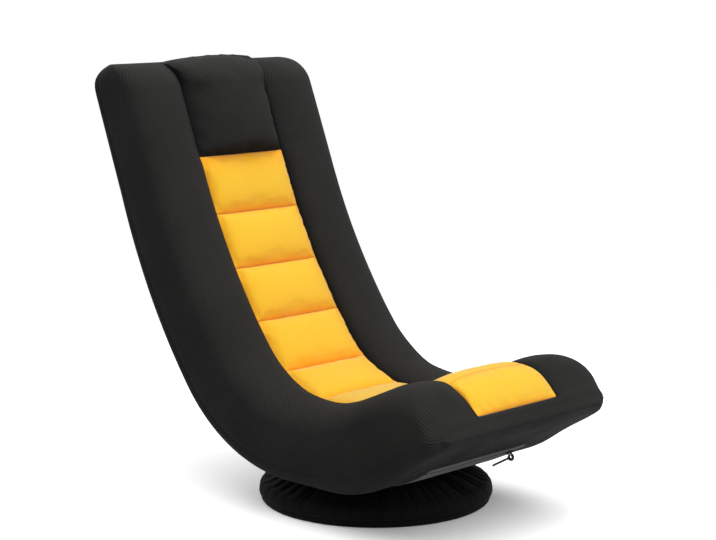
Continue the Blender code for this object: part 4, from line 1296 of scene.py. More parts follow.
@dataclass
class PadCover:
    """Black mesh cover of the whole pad, from the top of the back to the nose."""

    finishes: Finishes
    spacing: float = 0.0048
    edge_step: float = 0.0018
    lip: float = 0.0035
    lip_start: float = 0.05
    cap_start: float = 0.011
    cap_reach: float = 0.026
    cap_narrow: float = 0.09
    cap_steps: int = 12
    cap_share: float = 0.05
    bull_run: float = 0.045
    nose_notch: float = 0.032
    band_run: float = 0.014
    band_share: float = 0.25
    band_edge: float = 0.004
    wall: float = 0.0003
    wall_drop: float = 0.003
    under_swell: float = 0.0045
    under_start: float = 0.258
    pillow_flank: float = 0.5
    flank_run: float = 0.04
    full_flank: float = 1.0
    full_arc: float = 0.235
    full_run: float = 0.04
    flank_steps: int = 12
    roll_steps: int = 14
    rear_steps: int = 9
    side_shares: tuple[float, ...] = (0.15, 0.3, 0.45, 0.6, 0.75, 0.88, 0.94, 0.97, 1.0)
    rear_shares: tuple[float, ...] = (0.75, 0.5, 0.25, 0.0)
    rear_corner: float = 1.45
    seam_width: float = 0.00308
    seam_depth: float = 0.0022
    seam_shadow: float = 0.006
    fill: float = 0.9

    def half_section(self, arc: float) -> list[Point2]:
        """Half of one section, from the middle of the groove round to the middle of the rear.

        Args:
            arc: Arc length of the section.

        Returns:
            Points as (across, depth).
        """
        form = PAD
        thick = form.thick_at(arc)
        fit = min(1.0, thick / form.thickness)
        half = form.width / 2 - form.nose_corner * (1 - rounding(arc, form.seat_length, form.nose_corner))
        corner = form.top_corner * (1 - rounding(-arc, form.back_length, form.top_corner))
        height = form.roll_height(arc)
        bull = self.bull_at(arc)
        depth = form.roll_depth * fit * (1 - bull) + (thick / 2 + height) * bull
        rear = form.rear_round * fit * (1 - bull) + thick / 2 * bull
        crest = half - form.roll_width
        lip = form.strip_half
        flush = ease((arc - form.seams[-1]) / self.band_run)
        past = ease((arc - form.seams[-1]) / self.band_edge + 0.5)
        band = self.band_share * height
        floor = form.groove_depth + (form.seam_dip + form.gap - form.groove_depth) * past
        floor -= (floor + band) * flush
        dip = form.edge_dip(arc) * (1 - flush) - band * flush
        line = [(0.0, floor), (lip / 2, floor), (lip - 2 * self.wall, floor)]
        line.append((lip - self.wall, dip + self.wall_drop * (1 - past)))
        flank = self.flank_at(arc)
        for angle in quarter_angles(self.flank_steps):
            across = lip + (crest - lip) * (1 - math.cos(angle)) ** flank
            line.append((across, dip - (dip + height) * math.sin(angle)))
        for angle in quarter_angles(self.roll_steps, 1):
            line.append((crest + form.roll_width * math.sin(angle), depth * (1 - math.cos(angle)) - height))
        top, low = depth - height, thick - rear
        for share in self.side_shares:
            swell = form.side_swell * fit * math.sin(math.pi * share)
            line.append((half + swell, top + (low - top) * share))
        for angle in quarter_angles(self.rear_steps, 1):
            line.append((half - rear * (1 - math.cos(angle)), thick - rear * (1 - math.sin(angle))))
        line += [((half - rear) * share, thick) for share in self.rear_shares]
        line = [self.sewn(x, v, low, fit) for x, v in line]
        left = rounding(-arc, form.back_length, form.top_round)
        return [(self.cornered(x, 0.5 + (v / thick - 0.5) * left, half, corner), v) for x, v in line]

    def bull_at(self, arc: float) -> float:
        """Share of the full round that the section has near the nose."""
        return ease((arc - PAD.seat_length + self.bull_run) / self.bull_run)

    def flank_at(self, arc: float) -> float:
        """Power of the rolls' inner flanks.

        Args:
            arc: Arc length of the section.

        Returns:
            The power, large for a full flank and a half for a gentle one.
        """
        form = PAD
        beside_pillow = ease((form.seams[0] - arc) / self.flank_run + 0.5)
        beside_front = ease((arc - form.seams[-2]) / self.flank_run)
        full = math.exp(-(((arc - self.full_arc) / self.full_run) ** 2))
        plain = form.roll_flank + self.full_flank * full * (1 - beside_front)
        return plain + (self.pillow_flank - plain) * max(beside_pillow, beside_front)

    def cornered(self, x: float, share: float, half: float, corner: float) -> float:
        """Draws a point in at the rounded top corners, less at the front than at the rear.

        Args:
            x: Place across.
            share: Share of the thickness at the point.
            half: Half the full width.
            corner: How far the corner draws the side in.

        Returns:
            The place across after that.
        """
        if x < PAD.strip_half:
            return x
        depth = self.rear_corner * ease(share)
        return x - corner * depth * (x - PAD.strip_half) / (half - PAD.strip_half)

    def sewn(self, x: float, depth: float, seam: float, fit: float) -> Point2:
        """Pulls the side in at the seam between cover and rear.

        Args:
            x: Place across.
            depth: Depth of the point.
            seam: Depth of the seam.
            fit: Share of the full thickness.

        Returns:
            The point, drawn in.
        """
        if x < PAD.strip_half:
            return x, depth
        return x - self.seam_depth * fit * math.exp(-(((depth - seam) / self.seam_width) ** 2)), depth

    def arcs(self) -> list[Point3]:
        """Stations along the pad.

        Returns:
            Rows of arc length, share of the section that an end leaves, and how far the front lip stands out.
        """
        form = PAD
        rows: list[Point3] = []
        for angle in reversed(quarter_angles(self.cap_steps)):
            arc = -(form.back_length - form.top_round * (1 - math.sin(angle)))
            rows.append((arc, max(END_SHARE, math.cos(angle)), 0.0))
        start = rows[-1][0]
        end = form.seams[-1]
        count = int((end - start) / self.spacing)
        rows += [(start + (end - start) * k / count, 1.0, 0.0) for k in range(1, count)]
        past = end + self.edge_step
        rows += [(end - self.edge_step, 1.0, 0.0), (end, 1.0, 0.0), (past, 1.0, self.lip_start)]
        start = form.seat_length - self.cap_start
        rows += [(past + (start - past) * share, 1.0, ease(share) / 2) for share in (0.5, 1.0)]
        for k, angle in enumerate(quarter_angles(self.cap_steps, 1), 1):
            left = max(self.cap_share, math.cos(angle))
            rows.append((start + self.cap_reach * math.sin(angle), left, 0.5 + 0.5 * k / self.cap_steps))
        return rows

    def ring(self, arc: float, left: float, lip: float) -> np.ndarray:
        """One ring of the cover.

        Args:
            arc: Arc length of the ring.
            left: Share of the section that an end leaves.
            lip: How far the front lip stands out.

        Returns:
            The ring's points.
        """
        middle = PAD.thick_at(arc) / 2
        swell = self.under_swell * ease((arc - self.under_start) / (PAD.seat_length - self.under_start))
        narrow = 1 - self.cap_narrow * (1 - left) if arc > 0 else 1.0
        bull = self.bull_at(arc)
        line = []
        for x, depth in self.half_section(arc):
            front = max(0.0, 1 - depth / middle)
            depth = depth - self.lip * lip * min(1.0, 2 * front) + swell * max(0.0, depth / middle - 1)
            drawn = narrow * (1 - self.nose_notch * bull * min(1.0, front))
            line.append((x * drawn, middle + (depth - middle) * left))
        return PAD.set_in(arc, line + [(-x, v) for x, v in reversed(line[1:-1])])

    def build(self) -> None:
        """Makes the cover and bakes it into the row frame with no parent."""
        rows = self.arcs()
        skin = Skin.through([self.ring(*row) for row in rows], [arc for arc, _, _ in rows])
        skin.around = skin.around - skin.around[:, [skin.rings.shape[1] // 2]]
        # Painted shade in the valleys beside the strip.
        skin.crease_shade = self.shade(skin)
        steps = np.linalg.norm(np.diff(skin.rings, axis=0), axis=2)
        skin.along = np.concatenate([[0.0], np.cumsum(np.median(steps, axis=1))])
        cover = skin.piece("pad_cover")
        self.finishes.fit(
            cover, Slot.BLACK_MESH, None, "seat_foam", "bend_foam", "back_foam", fill=self.fill
        )

    def shade(self, skin: Skin) -> np.ndarray:
        """Paints shade on the cloth that is drawn into the seams beside the strip.

        Args:
            skin: The cover's skin.

        Returns:
            A share of painted shade for each point.
        """
        near = np.abs(np.abs(skin.rings[:, :, 0]) - PAD.strip_half)
        beside = np.clip((PAD.seams[-1] + self.band_run - skin.along) / self.band_run, 0.0, 1.0)
        return np.exp(-near / self.seam_shadow) * beside[:, None]


@dataclass
class QuiltedStrip:
    """Yellow channels down the middle of the pad, and the black head pillow over them."""

    finishes: Finishes
    stitcher: NodeTool
    press: ClothPress = field(default_factory=ClothPress)
    crown: float = 0.0125
    crown_power: float = 8 / 3
    fullness: float = 0.38
    hollow_crown: float = 0.0018
    hollow_arc: float = 0.205
    crest_crown: float = 0.012
    front_crown: float = 0.008
    front_seam_lift: float = 0.85
    seam_sink: float = 0.0025
    columns: int = 37
    column_power: float = 1.5
    rows: int = 27
    row_power: float = 1.4
    floor_room: float = 0.0008
    floor_shares: tuple[float, ...] = (1.0, 0.6, 0.2, -0.2, -0.6, -1.0)
    channel_edge: float = 0.5
    channel_give: float = 0.0018
    channel_fill: float = 0.8
    # Runs and shares of painted shade near seams and sides, under the pillow and on the front channels.
    top_shade: float = 0.003
    top_shade_share: float = 0.4
    seam_shade: float = 0.015
    low_seam_shade: float = 0.005
    side_shade: float = 0.010
    side_shade_share: float = 0.8
    front_shade: float = 0.003
    pillow_crown: float = 0.044
    pillow_seam_lift: float = 0.004
    pillow_rise: float = 0.0075
    pillow_arch: float = 0.008
    pillow_narrow: float = 0.2
    pillow_rows: int = 58
    pillow_top_share: float = 0.30
    pillow_low_share: float = 0.90
    pillow_fullness: float = 0.6
    pillow_end: float = 0.020
    pillow_lean: float = 0.0045
    pillow_edge: float = 1.0
    pillow_top_edge: float = 0.4
    pillow_top_run: float = 0.07
    pillow_give: float = 0.004
    pillow_fill: float = 0.85
    pillow_shade: float = 0.020
    pillow_seam_shade: float = 0.012
    pillow_seam_share: float = 0.8
    pillow_side_shade: float = 0.009
    stitch_inset: float = 0.004
    stitch_depth: float = 0.0008
    stitch_points: int = 41

    def ring(self, arc: float, crown: float, half: float, edge: float, left: float = 1.0) -> np.ndarray:
        """One ring of a cushion: crowned above and flat on the groove below.

        Args:
            arc: Arc length of the ring.
            crown: Height of its middle over the sitting line.
            half: Half its width.
            edge: Power of its rise from the sides, where a half is steep and 1 is gentle.
            left: Share that an end's rounding leaves.

        Returns:
            The ring's points.
        """
        form = PAD
        middle = form.thick_at(arc) / 2
        floor_left = max(END_SHARE, rounding(-arc, form.back_length, form.top_round))
        floor = middle + (form.groove_depth - middle) * floor_left - form.gap
        dip = form.edge_dip(arc)
        line = []
        for k in range(self.columns):
            share = crowded(k, self.columns, self.column_power)
            lift = max(0.0, 1 - abs(share) ** self.crown_power) ** edge
            depth = dip - (dip + crown) * lift
            line.append((-half * share, min(middle + (depth - middle) * left, floor - self.floor_room)))
        line += [(-half * share, floor) for share in self.floor_shares]
        return form.set_in(arc, line)

    def sewn_mask(self, rings: np.ndarray) -> np.ndarray:
        """Points that are sewn down.

        Args:
            rings: Rings of a cushion.

        Returns:
            True at the sides, the floor and both end rings.
        """
        mask = np.zeros(rings.shape[:2], bool)
        mask[:, self.columns - 1 :] = True
        mask[:, 0] = True
        mask[[0, -1], :] = True
        return mask

    @staticmethod
    def paint_crease_shade(skin: Skin, half: float, ends: Sequence[float], share: float, run: float) -> None:
        """Paints shade on a cushion's cloth near its ends, and by a share that fades over a run from its
        sides.
        """
        across = np.maximum(half - np.abs(skin.rings[:, :, 0]), 0.0)
        skin.crease_shade = np.maximum(np.array(ends)[:, None], share * np.exp(-across / run))

    def crown_at(self, arc: float) -> float:
        """Height of the channels' middles over the sitting line.

        Args:
            arc: Arc length along the sitting line.

        Returns:
            The height, lower in the hollow behind the crest.
        """
        stations = [
            (PAD.seams[PAD.channel_count - 2], self.crown),
            (self.hollow_arc, self.hollow_crown),
            (PAD.seams[-2], self.crest_crown),
            (PAD.seams[-1], self.front_crown),
        ]
        return eased_along(stations, arc)

    def channel(self, index: int, name: str) -> SoftPart:
        """One quilted channel between two seams.

        Args:
            index: Number of the channel from the top.
            name: Name of its piece.

        Returns:
            The channel for the cloth solver.
        """
        form = PAD
        start, end = form.seams[index] + form.gap, form.seams[index + 1] - form.gap
        # Painted shade: a painted shadow under the pillow's overhang on the first channel, shade near every
        # channel's seams and sides, and little on the front channels.
        top_shade, top_share = self.top_shade, self.top_shade_share
        if index == 0:
            start -= self.pillow_seam_lift
            top_shade, top_share = self.pillow_shade, 1.0
        last = form.channel_count - 1
        half = form.strip_half - form.gap
        shade = self.seam_shade if index <= form.back_channels else self.low_seam_shade
        side_shade = self.side_shade
        if index >= last:
            shade = side_shade = self.front_shade
        rings, along, crease_shade = [], [], []
        for k in range(self.rows):
            share = 0.5 + 0.5 * crowded(k, self.rows, self.row_power)
            lift = max(0.0, math.sin(math.pi * share)) ** self.fullness
            if (index == last and share > 0.5) or (index > last and share < 0.5):
                lift = self.front_seam_lift + (1 - self.front_seam_lift) * lift
            arc = start + (end - start) * share
            crown = (self.crown_at(arc) + self.seam_sink) * lift - self.seam_sink
            crown -= form.seam_dip * (1 - lift) / 2
            rings.append(self.ring(arc, crown, half, self.channel_edge))
            along.append(arc)
            top = top_share * math.exp(-(arc - start) / top_shade)
            crease_shade.append(max(top, math.exp(-(end - arc) / shade)))
        skin = Skin.through(rings, along)
        self.paint_crease_shade(skin, half, crease_shade, self.side_shade_share, side_shade)
        return SoftPart(name, skin, self.sewn_mask(skin.rings), self.channel_give)

    @staticmethod
    def pillow_place(step: float) -> float:
        """Spreads the pillow's rows, closer together at both of its ends.

        Args:
            step: Even step from 0 to 1.

        Returns:
            Share of the pillow's length.
        """
        if step < 0.5:
            return 1 - math.cos(step * math.pi / 2)
        half_way = math.cos(math.pi / 4)
        return min(1.0, 1 - half_way + half_way * math.sin((step - 0.5) * math.pi))

    def pillow(self) -> SoftPart:
        """The head pillow, from the strip's first seam over the top of the back.

        Returns:
            The pillow for the cloth solver.
        """
        form = PAD
        length = form.back_length + self.pillow_rise
        low = form.seams[0] - form.gap - self.pillow_seam_lift
        rings, along, crease_shade, highs = [], [], [], []
        for k in range(self.pillow_rows):
            share = self.pillow_place(k / (self.pillow_rows - 1))
            arc = -length + (length + low) * share
            phase = self.pillow_top_share + (self.pillow_low_share - self.pillow_top_share) * share
            crown = self.pillow_crown * math.sin(math.pi * phase) ** self.pillow_fullness
            crown = (crown + self.seam_sink) * rounding(arc, low, self.pillow_end) - self.seam_sink
            arch = max(self.pillow_narrow, rounding(-arc, length, self.pillow_arch))
            left = max(END_SHARE, rounding(-arc, length, form.top_round))
            high = ease((-arc - form.back_length) / self.pillow_top_run + 1)
            edge = self.pillow_edge + (self.pillow_top_edge - self.pillow_edge) * high
            rings.append(self.ring(arc, crown, (form.strip_half - form.gap) * arch, edge, left))
            along.append(arc)
            highs.append(high)
            # Painted shade at the pillow's lower end, where it curves under, and in the valleys beside it.
            crease_shade.append(self.pillow_seam_share * math.exp(-(low - arc) / self.pillow_seam_shade))
        skin = Skin.through(rings, along)
        lean = self.pillow_lean * np.array(highs)[:, None] * skin.rings[:, :, 0] / form.strip_half
        skin.rings[:, :, 1] += lean * math.sin(form.back_tilt)
        skin.rings[:, :, 2] += lean * math.cos(form.back_tilt)
        self.paint_crease_shade(skin, form.strip_half, crease_shade, 1.0, self.pillow_side_shade)
        return SoftPart("head_cushion", skin, self.sewn_mask(skin.rings), self.pillow_give)

    def names(self) -> list[tuple[str, str]]:
        """Names of the channels from the top down.

        Returns:
            Each piece's name and that of the solid that it stands for.
        """
        counts = {"back": PAD.back_channels, "bend": PAD.bend_channels, "seat": PAD.seat_channels}
        solids = [f"{label}_channel_{k + 1}" for label, count in counts.items() for k in range(count)]
        return [(f"quilt_{solid}", solid) for solid in solids + ["front_channel"]]

    def build(self) -> None:
        """Makes the channels, the pillow and the stitches in the seams."""
        names = self.names()
        parts = [self.channel(k, piece) for k, (piece, _) in enumerate(names)] + [self.pillow()]
        self.press.settle(parts)
        bending = range(PAD.back_channels - 1, PAD.back_channels + PAD.bend_channels + 1)
        for index, (part, (_, solid)) in enumerate(zip(parts, names)):
            body = Body.BACK if index < PAD.back_channels else Body.SEAT
            piece = part.skin.piece(part.name)
            self.finishes.fit(
                piece, Slot.YELLOW_MESH, None if index in bending else body, solid, fill=self.channel_fill
            )
        pillow = parts[-1].skin.piece(parts[-1].name)
        self.finishes.fit(pillow, Slot.BLACK_MESH, Body.BACK, "head_pillow", fill=self.pillow_fill)
        self.stitch()

    def stitch(self) -> None:
        """Lays stitches in the seams between the channels."""
        half = PAD.strip_half - self.stitch_inset
        across = np.linspace(-half, half, self.stitch_points)
        groups = {"back": (Body.BACK, (1, 2)), "bend": (None, (3, 4, 5)), "seat": (Body.SEAT, (6, 7, 8))}
        for label, (body, seams) in groups.items():
            lines = []
            for arc in [PAD.seams[index] for index in seams]:
                depth = PAD.edge_dip(arc) + self.stitch_depth
                lines.append(PAD.set_in(arc, [(float(x), depth) for x in across]))
            thread = self.finishes.threads["yellow_thread"]
            piece = self.stitcher.run(f"seam_stitches_{label}", lines, thread, SEAM_STITCH)
            join(piece, body)


@dataclass
class GreyPanels:
    """Grey cloth panels on the outer side of the pad."""

    finishes: Finishes
    stitcher: NodeTool
    width: float = 0.25
    thickness: float = 0.0015
    facing_start: float = 0.0085
    facing_width: float = 0.010
    top_inset: float = 0.18
    corner: float = 0.055
    corner_steps: int = 12
    swell: float = 0.0012
    swell_run: float = 0.03
    hem: float = 0.006
    hem_depth: float = 0.0007
    hem_width: float = 0.0015
    thread_depth: float = 0.0003
    columns: int = 25
    column_power: float = 1.35
    rear_shares: tuple[float, ...] = (1.0, 0.5, 0.0, -0.5, -1.0)
    seat_rows: int = 34
    facing_rows: int = 7
    back_rows: int = 60
    hem_skip: int = 3

    def sheet_skin(self, arcs: Sequence[float], halves: Sequence[float]) -> Skin:
        """Thin closed skin lying on the outer side.

        Args:
            arcs: Arc lengths of its rows.
            halves: Half its width at each row.

        Returns:
            The skin.
        """
        rings = []
        for arc, half in zip(arcs, halves):
            low = PAD.thick_at(arc) + PAD.gap
            edge = min(arc - arcs[0], arcs[-1] - arc)
            line = []
            for k in range(self.columns):
                share = crowded(k, self.columns, self.column_power)
                inside = min(edge, half * (1 - abs(share)))
                groove = self.hem_depth * math.exp(-(((inside - self.hem) / self.hem_width) ** 2))
                puff = self.swell * ease(inside / self.swell_run) - groove
                line.append((half * share, low + self.thickness + puff))
            line += [(half * share, low) for share in self.rear_shares]
            rings.append(PAD.set_in(arc, line))
        return Skin.through(rings, arcs)

    def hem_line(self, arcs: Sequence[float], halves: Sequence[float]) -> list[np.ndarray]:
        """Lines of the hem's stitches.

        Args:
            arcs: Arc lengths of the panel's rows.
            halves: Half the panel's width at each row.

        Returns:
            The two sides as lines of points.
        """
        lines = []
        for side in (-1.0, 1.0):
            line = []
            for arc, half in zip(arcs, halves):
                depth = PAD.thick_at(arc) + PAD.gap + self.thickness - self.thread_depth
                line.append(PAD.set_in(arc, [(side * (half - self.hem), depth)])[0])
            lines.append(np.array(line))
        return lines

    def panel(
        self,
        name: str,
        solid: str,
        body: Body | None,
        rows: tuple[Sequence[float], Sequence[float]],
        length: float,
        hem: str = "",
        skip: int = 0,
    ) -> None:
        """Makes one panel, with stitches in its hem where they have a name.

        Args:
            name: Name of the piece.
            solid: Solid that it stands for.
            body: Body that it rides on, or None where it bends between seat and back.
            rows: Arc lengths of its rows, and half its width at each.
            length: Flat length of the cloth.
            hem: Name of the hem's stitches.
            skip: Rows at the start that the hem leaves out.
        """
        panel = self.sheet_skin(*rows).piece(name)
        self.finishes.fit(panel, Slot.GREY_CLOTH, body, solid)
        if hem:
            lines = self.hem_line(*(values[skip:] for values in rows))
            seams = self.stitcher.run(hem, lines, self.finishes.threads["grey_thread"], HEM_STITCH)
            join(seams, body)

    def build(self) -> None:
        """Makes the panels under the seat and on the back, and the narrow strip in front of the zip."""
        form = PAD
        half = self.width / 2
        zip_arc = form.seat_length - ZIP_INSET
        rows = (list(np.linspace(form.under_flat, zip_arc, self.seat_rows)), [half] * self.seat_rows)
        length = zip_arc - form.under_flat
        self.panel("seat_rear_panel", "seat_panel", Body.SEAT, rows, length, "seat_panel_hem")
        start = zip_arc + self.facing_start
        arcs = list(np.linspace(start, start + self.facing_width, self.facing_rows))
        rows = (arcs, [half] * self.facing_rows)
        self.panel("zip_facing_strip", "zip_facing", Body.SEAT, rows, self.facing_width)
        top = -(form.back_length - self.top_inset)
        low = form.seams[form.back_channels] - form.gap
        straight = top + self.corner
        arcs = [top + self.corner * (1 - math.cos(angle)) for angle in quarter_angles(self.corner_steps)]
        arcs += list(np.linspace(straight, low, self.back_rows))[1:]
        rows = (arcs, [half - self.corner * (1 - rounding(-arc, -top, self.corner)) for arc in arcs])
        self.panel("back_rear_panel", "back_panel", None, rows, low - top, "back_panel_hem", self.hem_skip)


@dataclass
class ZipFastener:
    """Zip at the front edge of the underside panel, with slider, ring and pull tab."""

    finishes: Finishes
    stitcher: NodeTool
    half: float = 0.11
    width: float = 0.007
    thickness: float = 0.0022
    tape_rows: int = 61
    tape_share: float = 0.98
    tape_height: float = 0.55
    tape_flank: float = 0.8
    tape_flat: float = 0.3
    tooth_height: float = 0.62
    slider_length: float = 0.012
    slider_height: float = 0.0028
    slider_lip: float = 0.001
    slider_park: float = 0.012
    slider_waist: float = 0.8
    slider_mouth: float = 0.1
    slider_step: float = 0.0006
    bail_root: float = 0.001
    bail_height: float = 0.0042
    bail_bar: float = 0.0014
    bail_width: float = 0.002
    pull_length: float = 0.046
    pull_thickness: float = 0.0036
    ring_radius: float = 0.0048
    ring_wire: float = 0.0026
    ring_steps: int = 40
    wire_sides: int = 10
    eye_wire: float = 0.0010
    eye_reach: float = 0.5
    eye_run: float = 0.8
    swing_room: float = 0.0002
    tab_half: float = 0.0030
    tip_half: float = 0.0034
    tip_length: float = 0.012
    tab_droop: float = math.radians(6.0)
    origin: Vector = field(init=False)
    ahead: Vector = field(init=False)
    outward: Vector = field(init=False)

    def __post_init__(self) -> None:
        """Finds the zip's place and directions on the underside."""
        arc = PAD.seat_length - ZIP_INSET
        _, outer = PAD.station(arc + PAD.gap + self.width / 2)
        _, before = PAD.station(arc)
        step = Vector((0.0, outer[0] - before[0], outer[1] - before[1])).normalized()
        self.origin = Vector((0.0, *outer))
        self.ahead = step
        self.outward = Vector((0.0, -step.z, step.y))

    @property
    def slider_x(self) -> float:
        """Place of the slider across the chair."""
        return self.half - self.slider_length / 2 - self.slider_park

    @property
    def body_low(self) -> float:
        """Height of the slider's lower face over the cloth."""
        return 2 * PAD.gap + self.thickness

    @property
    def ring_centre(self) -> Vector:
        """Middle of the pull's ring in the zip's own directions."""
        eye = self.body_low + self.slider_height + (self.bail_height - self.bail_bar) / 2
        return Vector((self.slider_x, 0.0, eye + self.ring_radius))

    def place(self, local: Vector) -> Vector:
        """Moves a point across, forward and outward from the zip's middle into the row frame."""
        return self.origin + Vector((local.x, 0.0, 0.0)) + self.ahead * local.y + self.outward * local.z

    def hang(self, local: Vector) -> Vector:
        """Moves a point along, across and out of the pull's tab into the row frame.

        Args:
            local: Place from the tab's root.

        Returns:
            The point.
        """
        root = self.ring_centre - Vector((0.0, self.ring_radius, 0.0))
        drop = math.sin(self.tab_droop) * local.x
        return self.place(root + Vector((-local.x, local.y, local.z + drop)))

    def build(self) -> None:
        """Makes tape, teeth, slider and pull."""
        rows = [float(x) for x in np.linspace(-self.half, self.half, self.tape_rows)]
        self.build_tape(rows)
        height = PAD.gap + self.thickness * self.tooth_height
        line = np.array([self.place(Vector((x, 0.0, height))) for x in rows])
        teeth = self.stitcher.run("zip_teeth", [line], self.finishes.by_slot[Slot.ZIP_METAL], ZIP_TOOTH)
        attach(teeth, Body.SEAT.value)
        self.build_slider()
        self.build_pull()

    def build_tape(self, rows: Sequence[float]) -> None:
        """Makes the tape, of grey cloth in the zip's slot.

        Args:
            rows: Places across the chair.
        """
        low = PAD.gap
        top = low + self.thickness * self.tape_height
        half, flat = self.width / 2 * self.tape_share, self.width / 2 * self.tape_flat
        flank = top * self.tape_flank
        profile = [(-half, low), (-half, flank), (-flat, top), (flat, top), (half, flank), (half, low)]
        rings = [np.array([self.place(Vector((x, a, b))) for a, b in profile]) for x in rows]
        tape = Skin.through(rings, rows).piece("zip_band")
        self.finishes.fit(tape, Slot.ZIP_METAL, Body.SEAT, "zip_tape")
        tape.data.materials[0] = self.finishes.by_slot[Slot.GREY_CLOTH]

    def build_slider(self) -> None:
        """Makes the slider with its bail."""
        at, length = self.slider_x, self.slider_length
        low = self.body_low
        top = low + self.slider_height
        wide = self.width / 2 + self.slider_lip
        waist = wide * self.slider_waist
        post, reach = length / 2 - self.bail_bar, top + self.bail_height
        bar, side = self.bail_bar / 2, (-self.bail_width / 2, self.bail_width / 2)
        mouth, end = at - length * self.slider_mouth, at + length / 2
        spans: list[Sequence[Point2]] = [
            ((at - length / 2, end), (-waist, waist), (low, top)),
            ((mouth, end), (-wide, wide), (low, top - self.slider_step)),
        ]
        for x in (at - post, at + post):
            spans.append(((x - bar, x + bar), side, (top - self.bail_root, reach)))
        spans.append(((at - post - bar, at + post + bar), side, (reach - self.bail_bar, reach)))
        work = bmesh.new()
        for span in spans:
            bevelled_block(work, span, self.place)
        slider = finished("zip_runner", poured("zip_runner", work))
        self.finishes.fit(slider, Slot.ZIP_METAL, Body.SLIDER, "zip_slider")

    def wire_at(self, angle: float) -> float:
        """Radius of the ring's wire at an angle from the bail, slim where it runs through."""
        full = ease((min(angle, TURN - angle) - self.eye_reach) / self.eye_run)
        return self.eye_wire + (self.ring_wire - self.eye_wire) * full

    def build_pull(self) -> None:
        """Makes the ring that hangs through the bail and the narrow tab on it."""
        work = bmesh.new()
        for k in range(self.ring_steps):
            angle = TURN * k / self.ring_steps
            ray = Vector((0.0, -math.sin(angle), -math.cos(angle)))
            wire = self.wire_at(angle)
            aside = min(0.0, self.eye_wire + self.swing_room - wire)
            for j in range(self.wire_sides):
                turn = TURN * j / self.wire_sides
                local = self.ring_centre + ray * (self.ring_radius + wire * math.cos(turn))
                local.x += aside + wire * math.sin(turn)
                work.verts.new(self.place(local))
        work.verts.ensure_lookup_table()
        for corners in ring_faces(self.ring_steps, self.wire_sides, closed=True):
            work.faces.new([work.verts[corner] for corner in corners])
        length, tube = self.pull_length, self.pull_thickness / 2
        for start, half in ((0.0, self.tab_half), (length - self.tip_length, self.tip_half)):
            bevelled_block(work, ((start, length), (-half, half), (-tube, tube)), self.hang)
        pull = finished("zip_ring_pull", poured("zip_ring_pull", work))
        self.finishes.fit(pull, Slot.ZIP_METAL, Body.PULL, "zip_pull")


# Swivel base


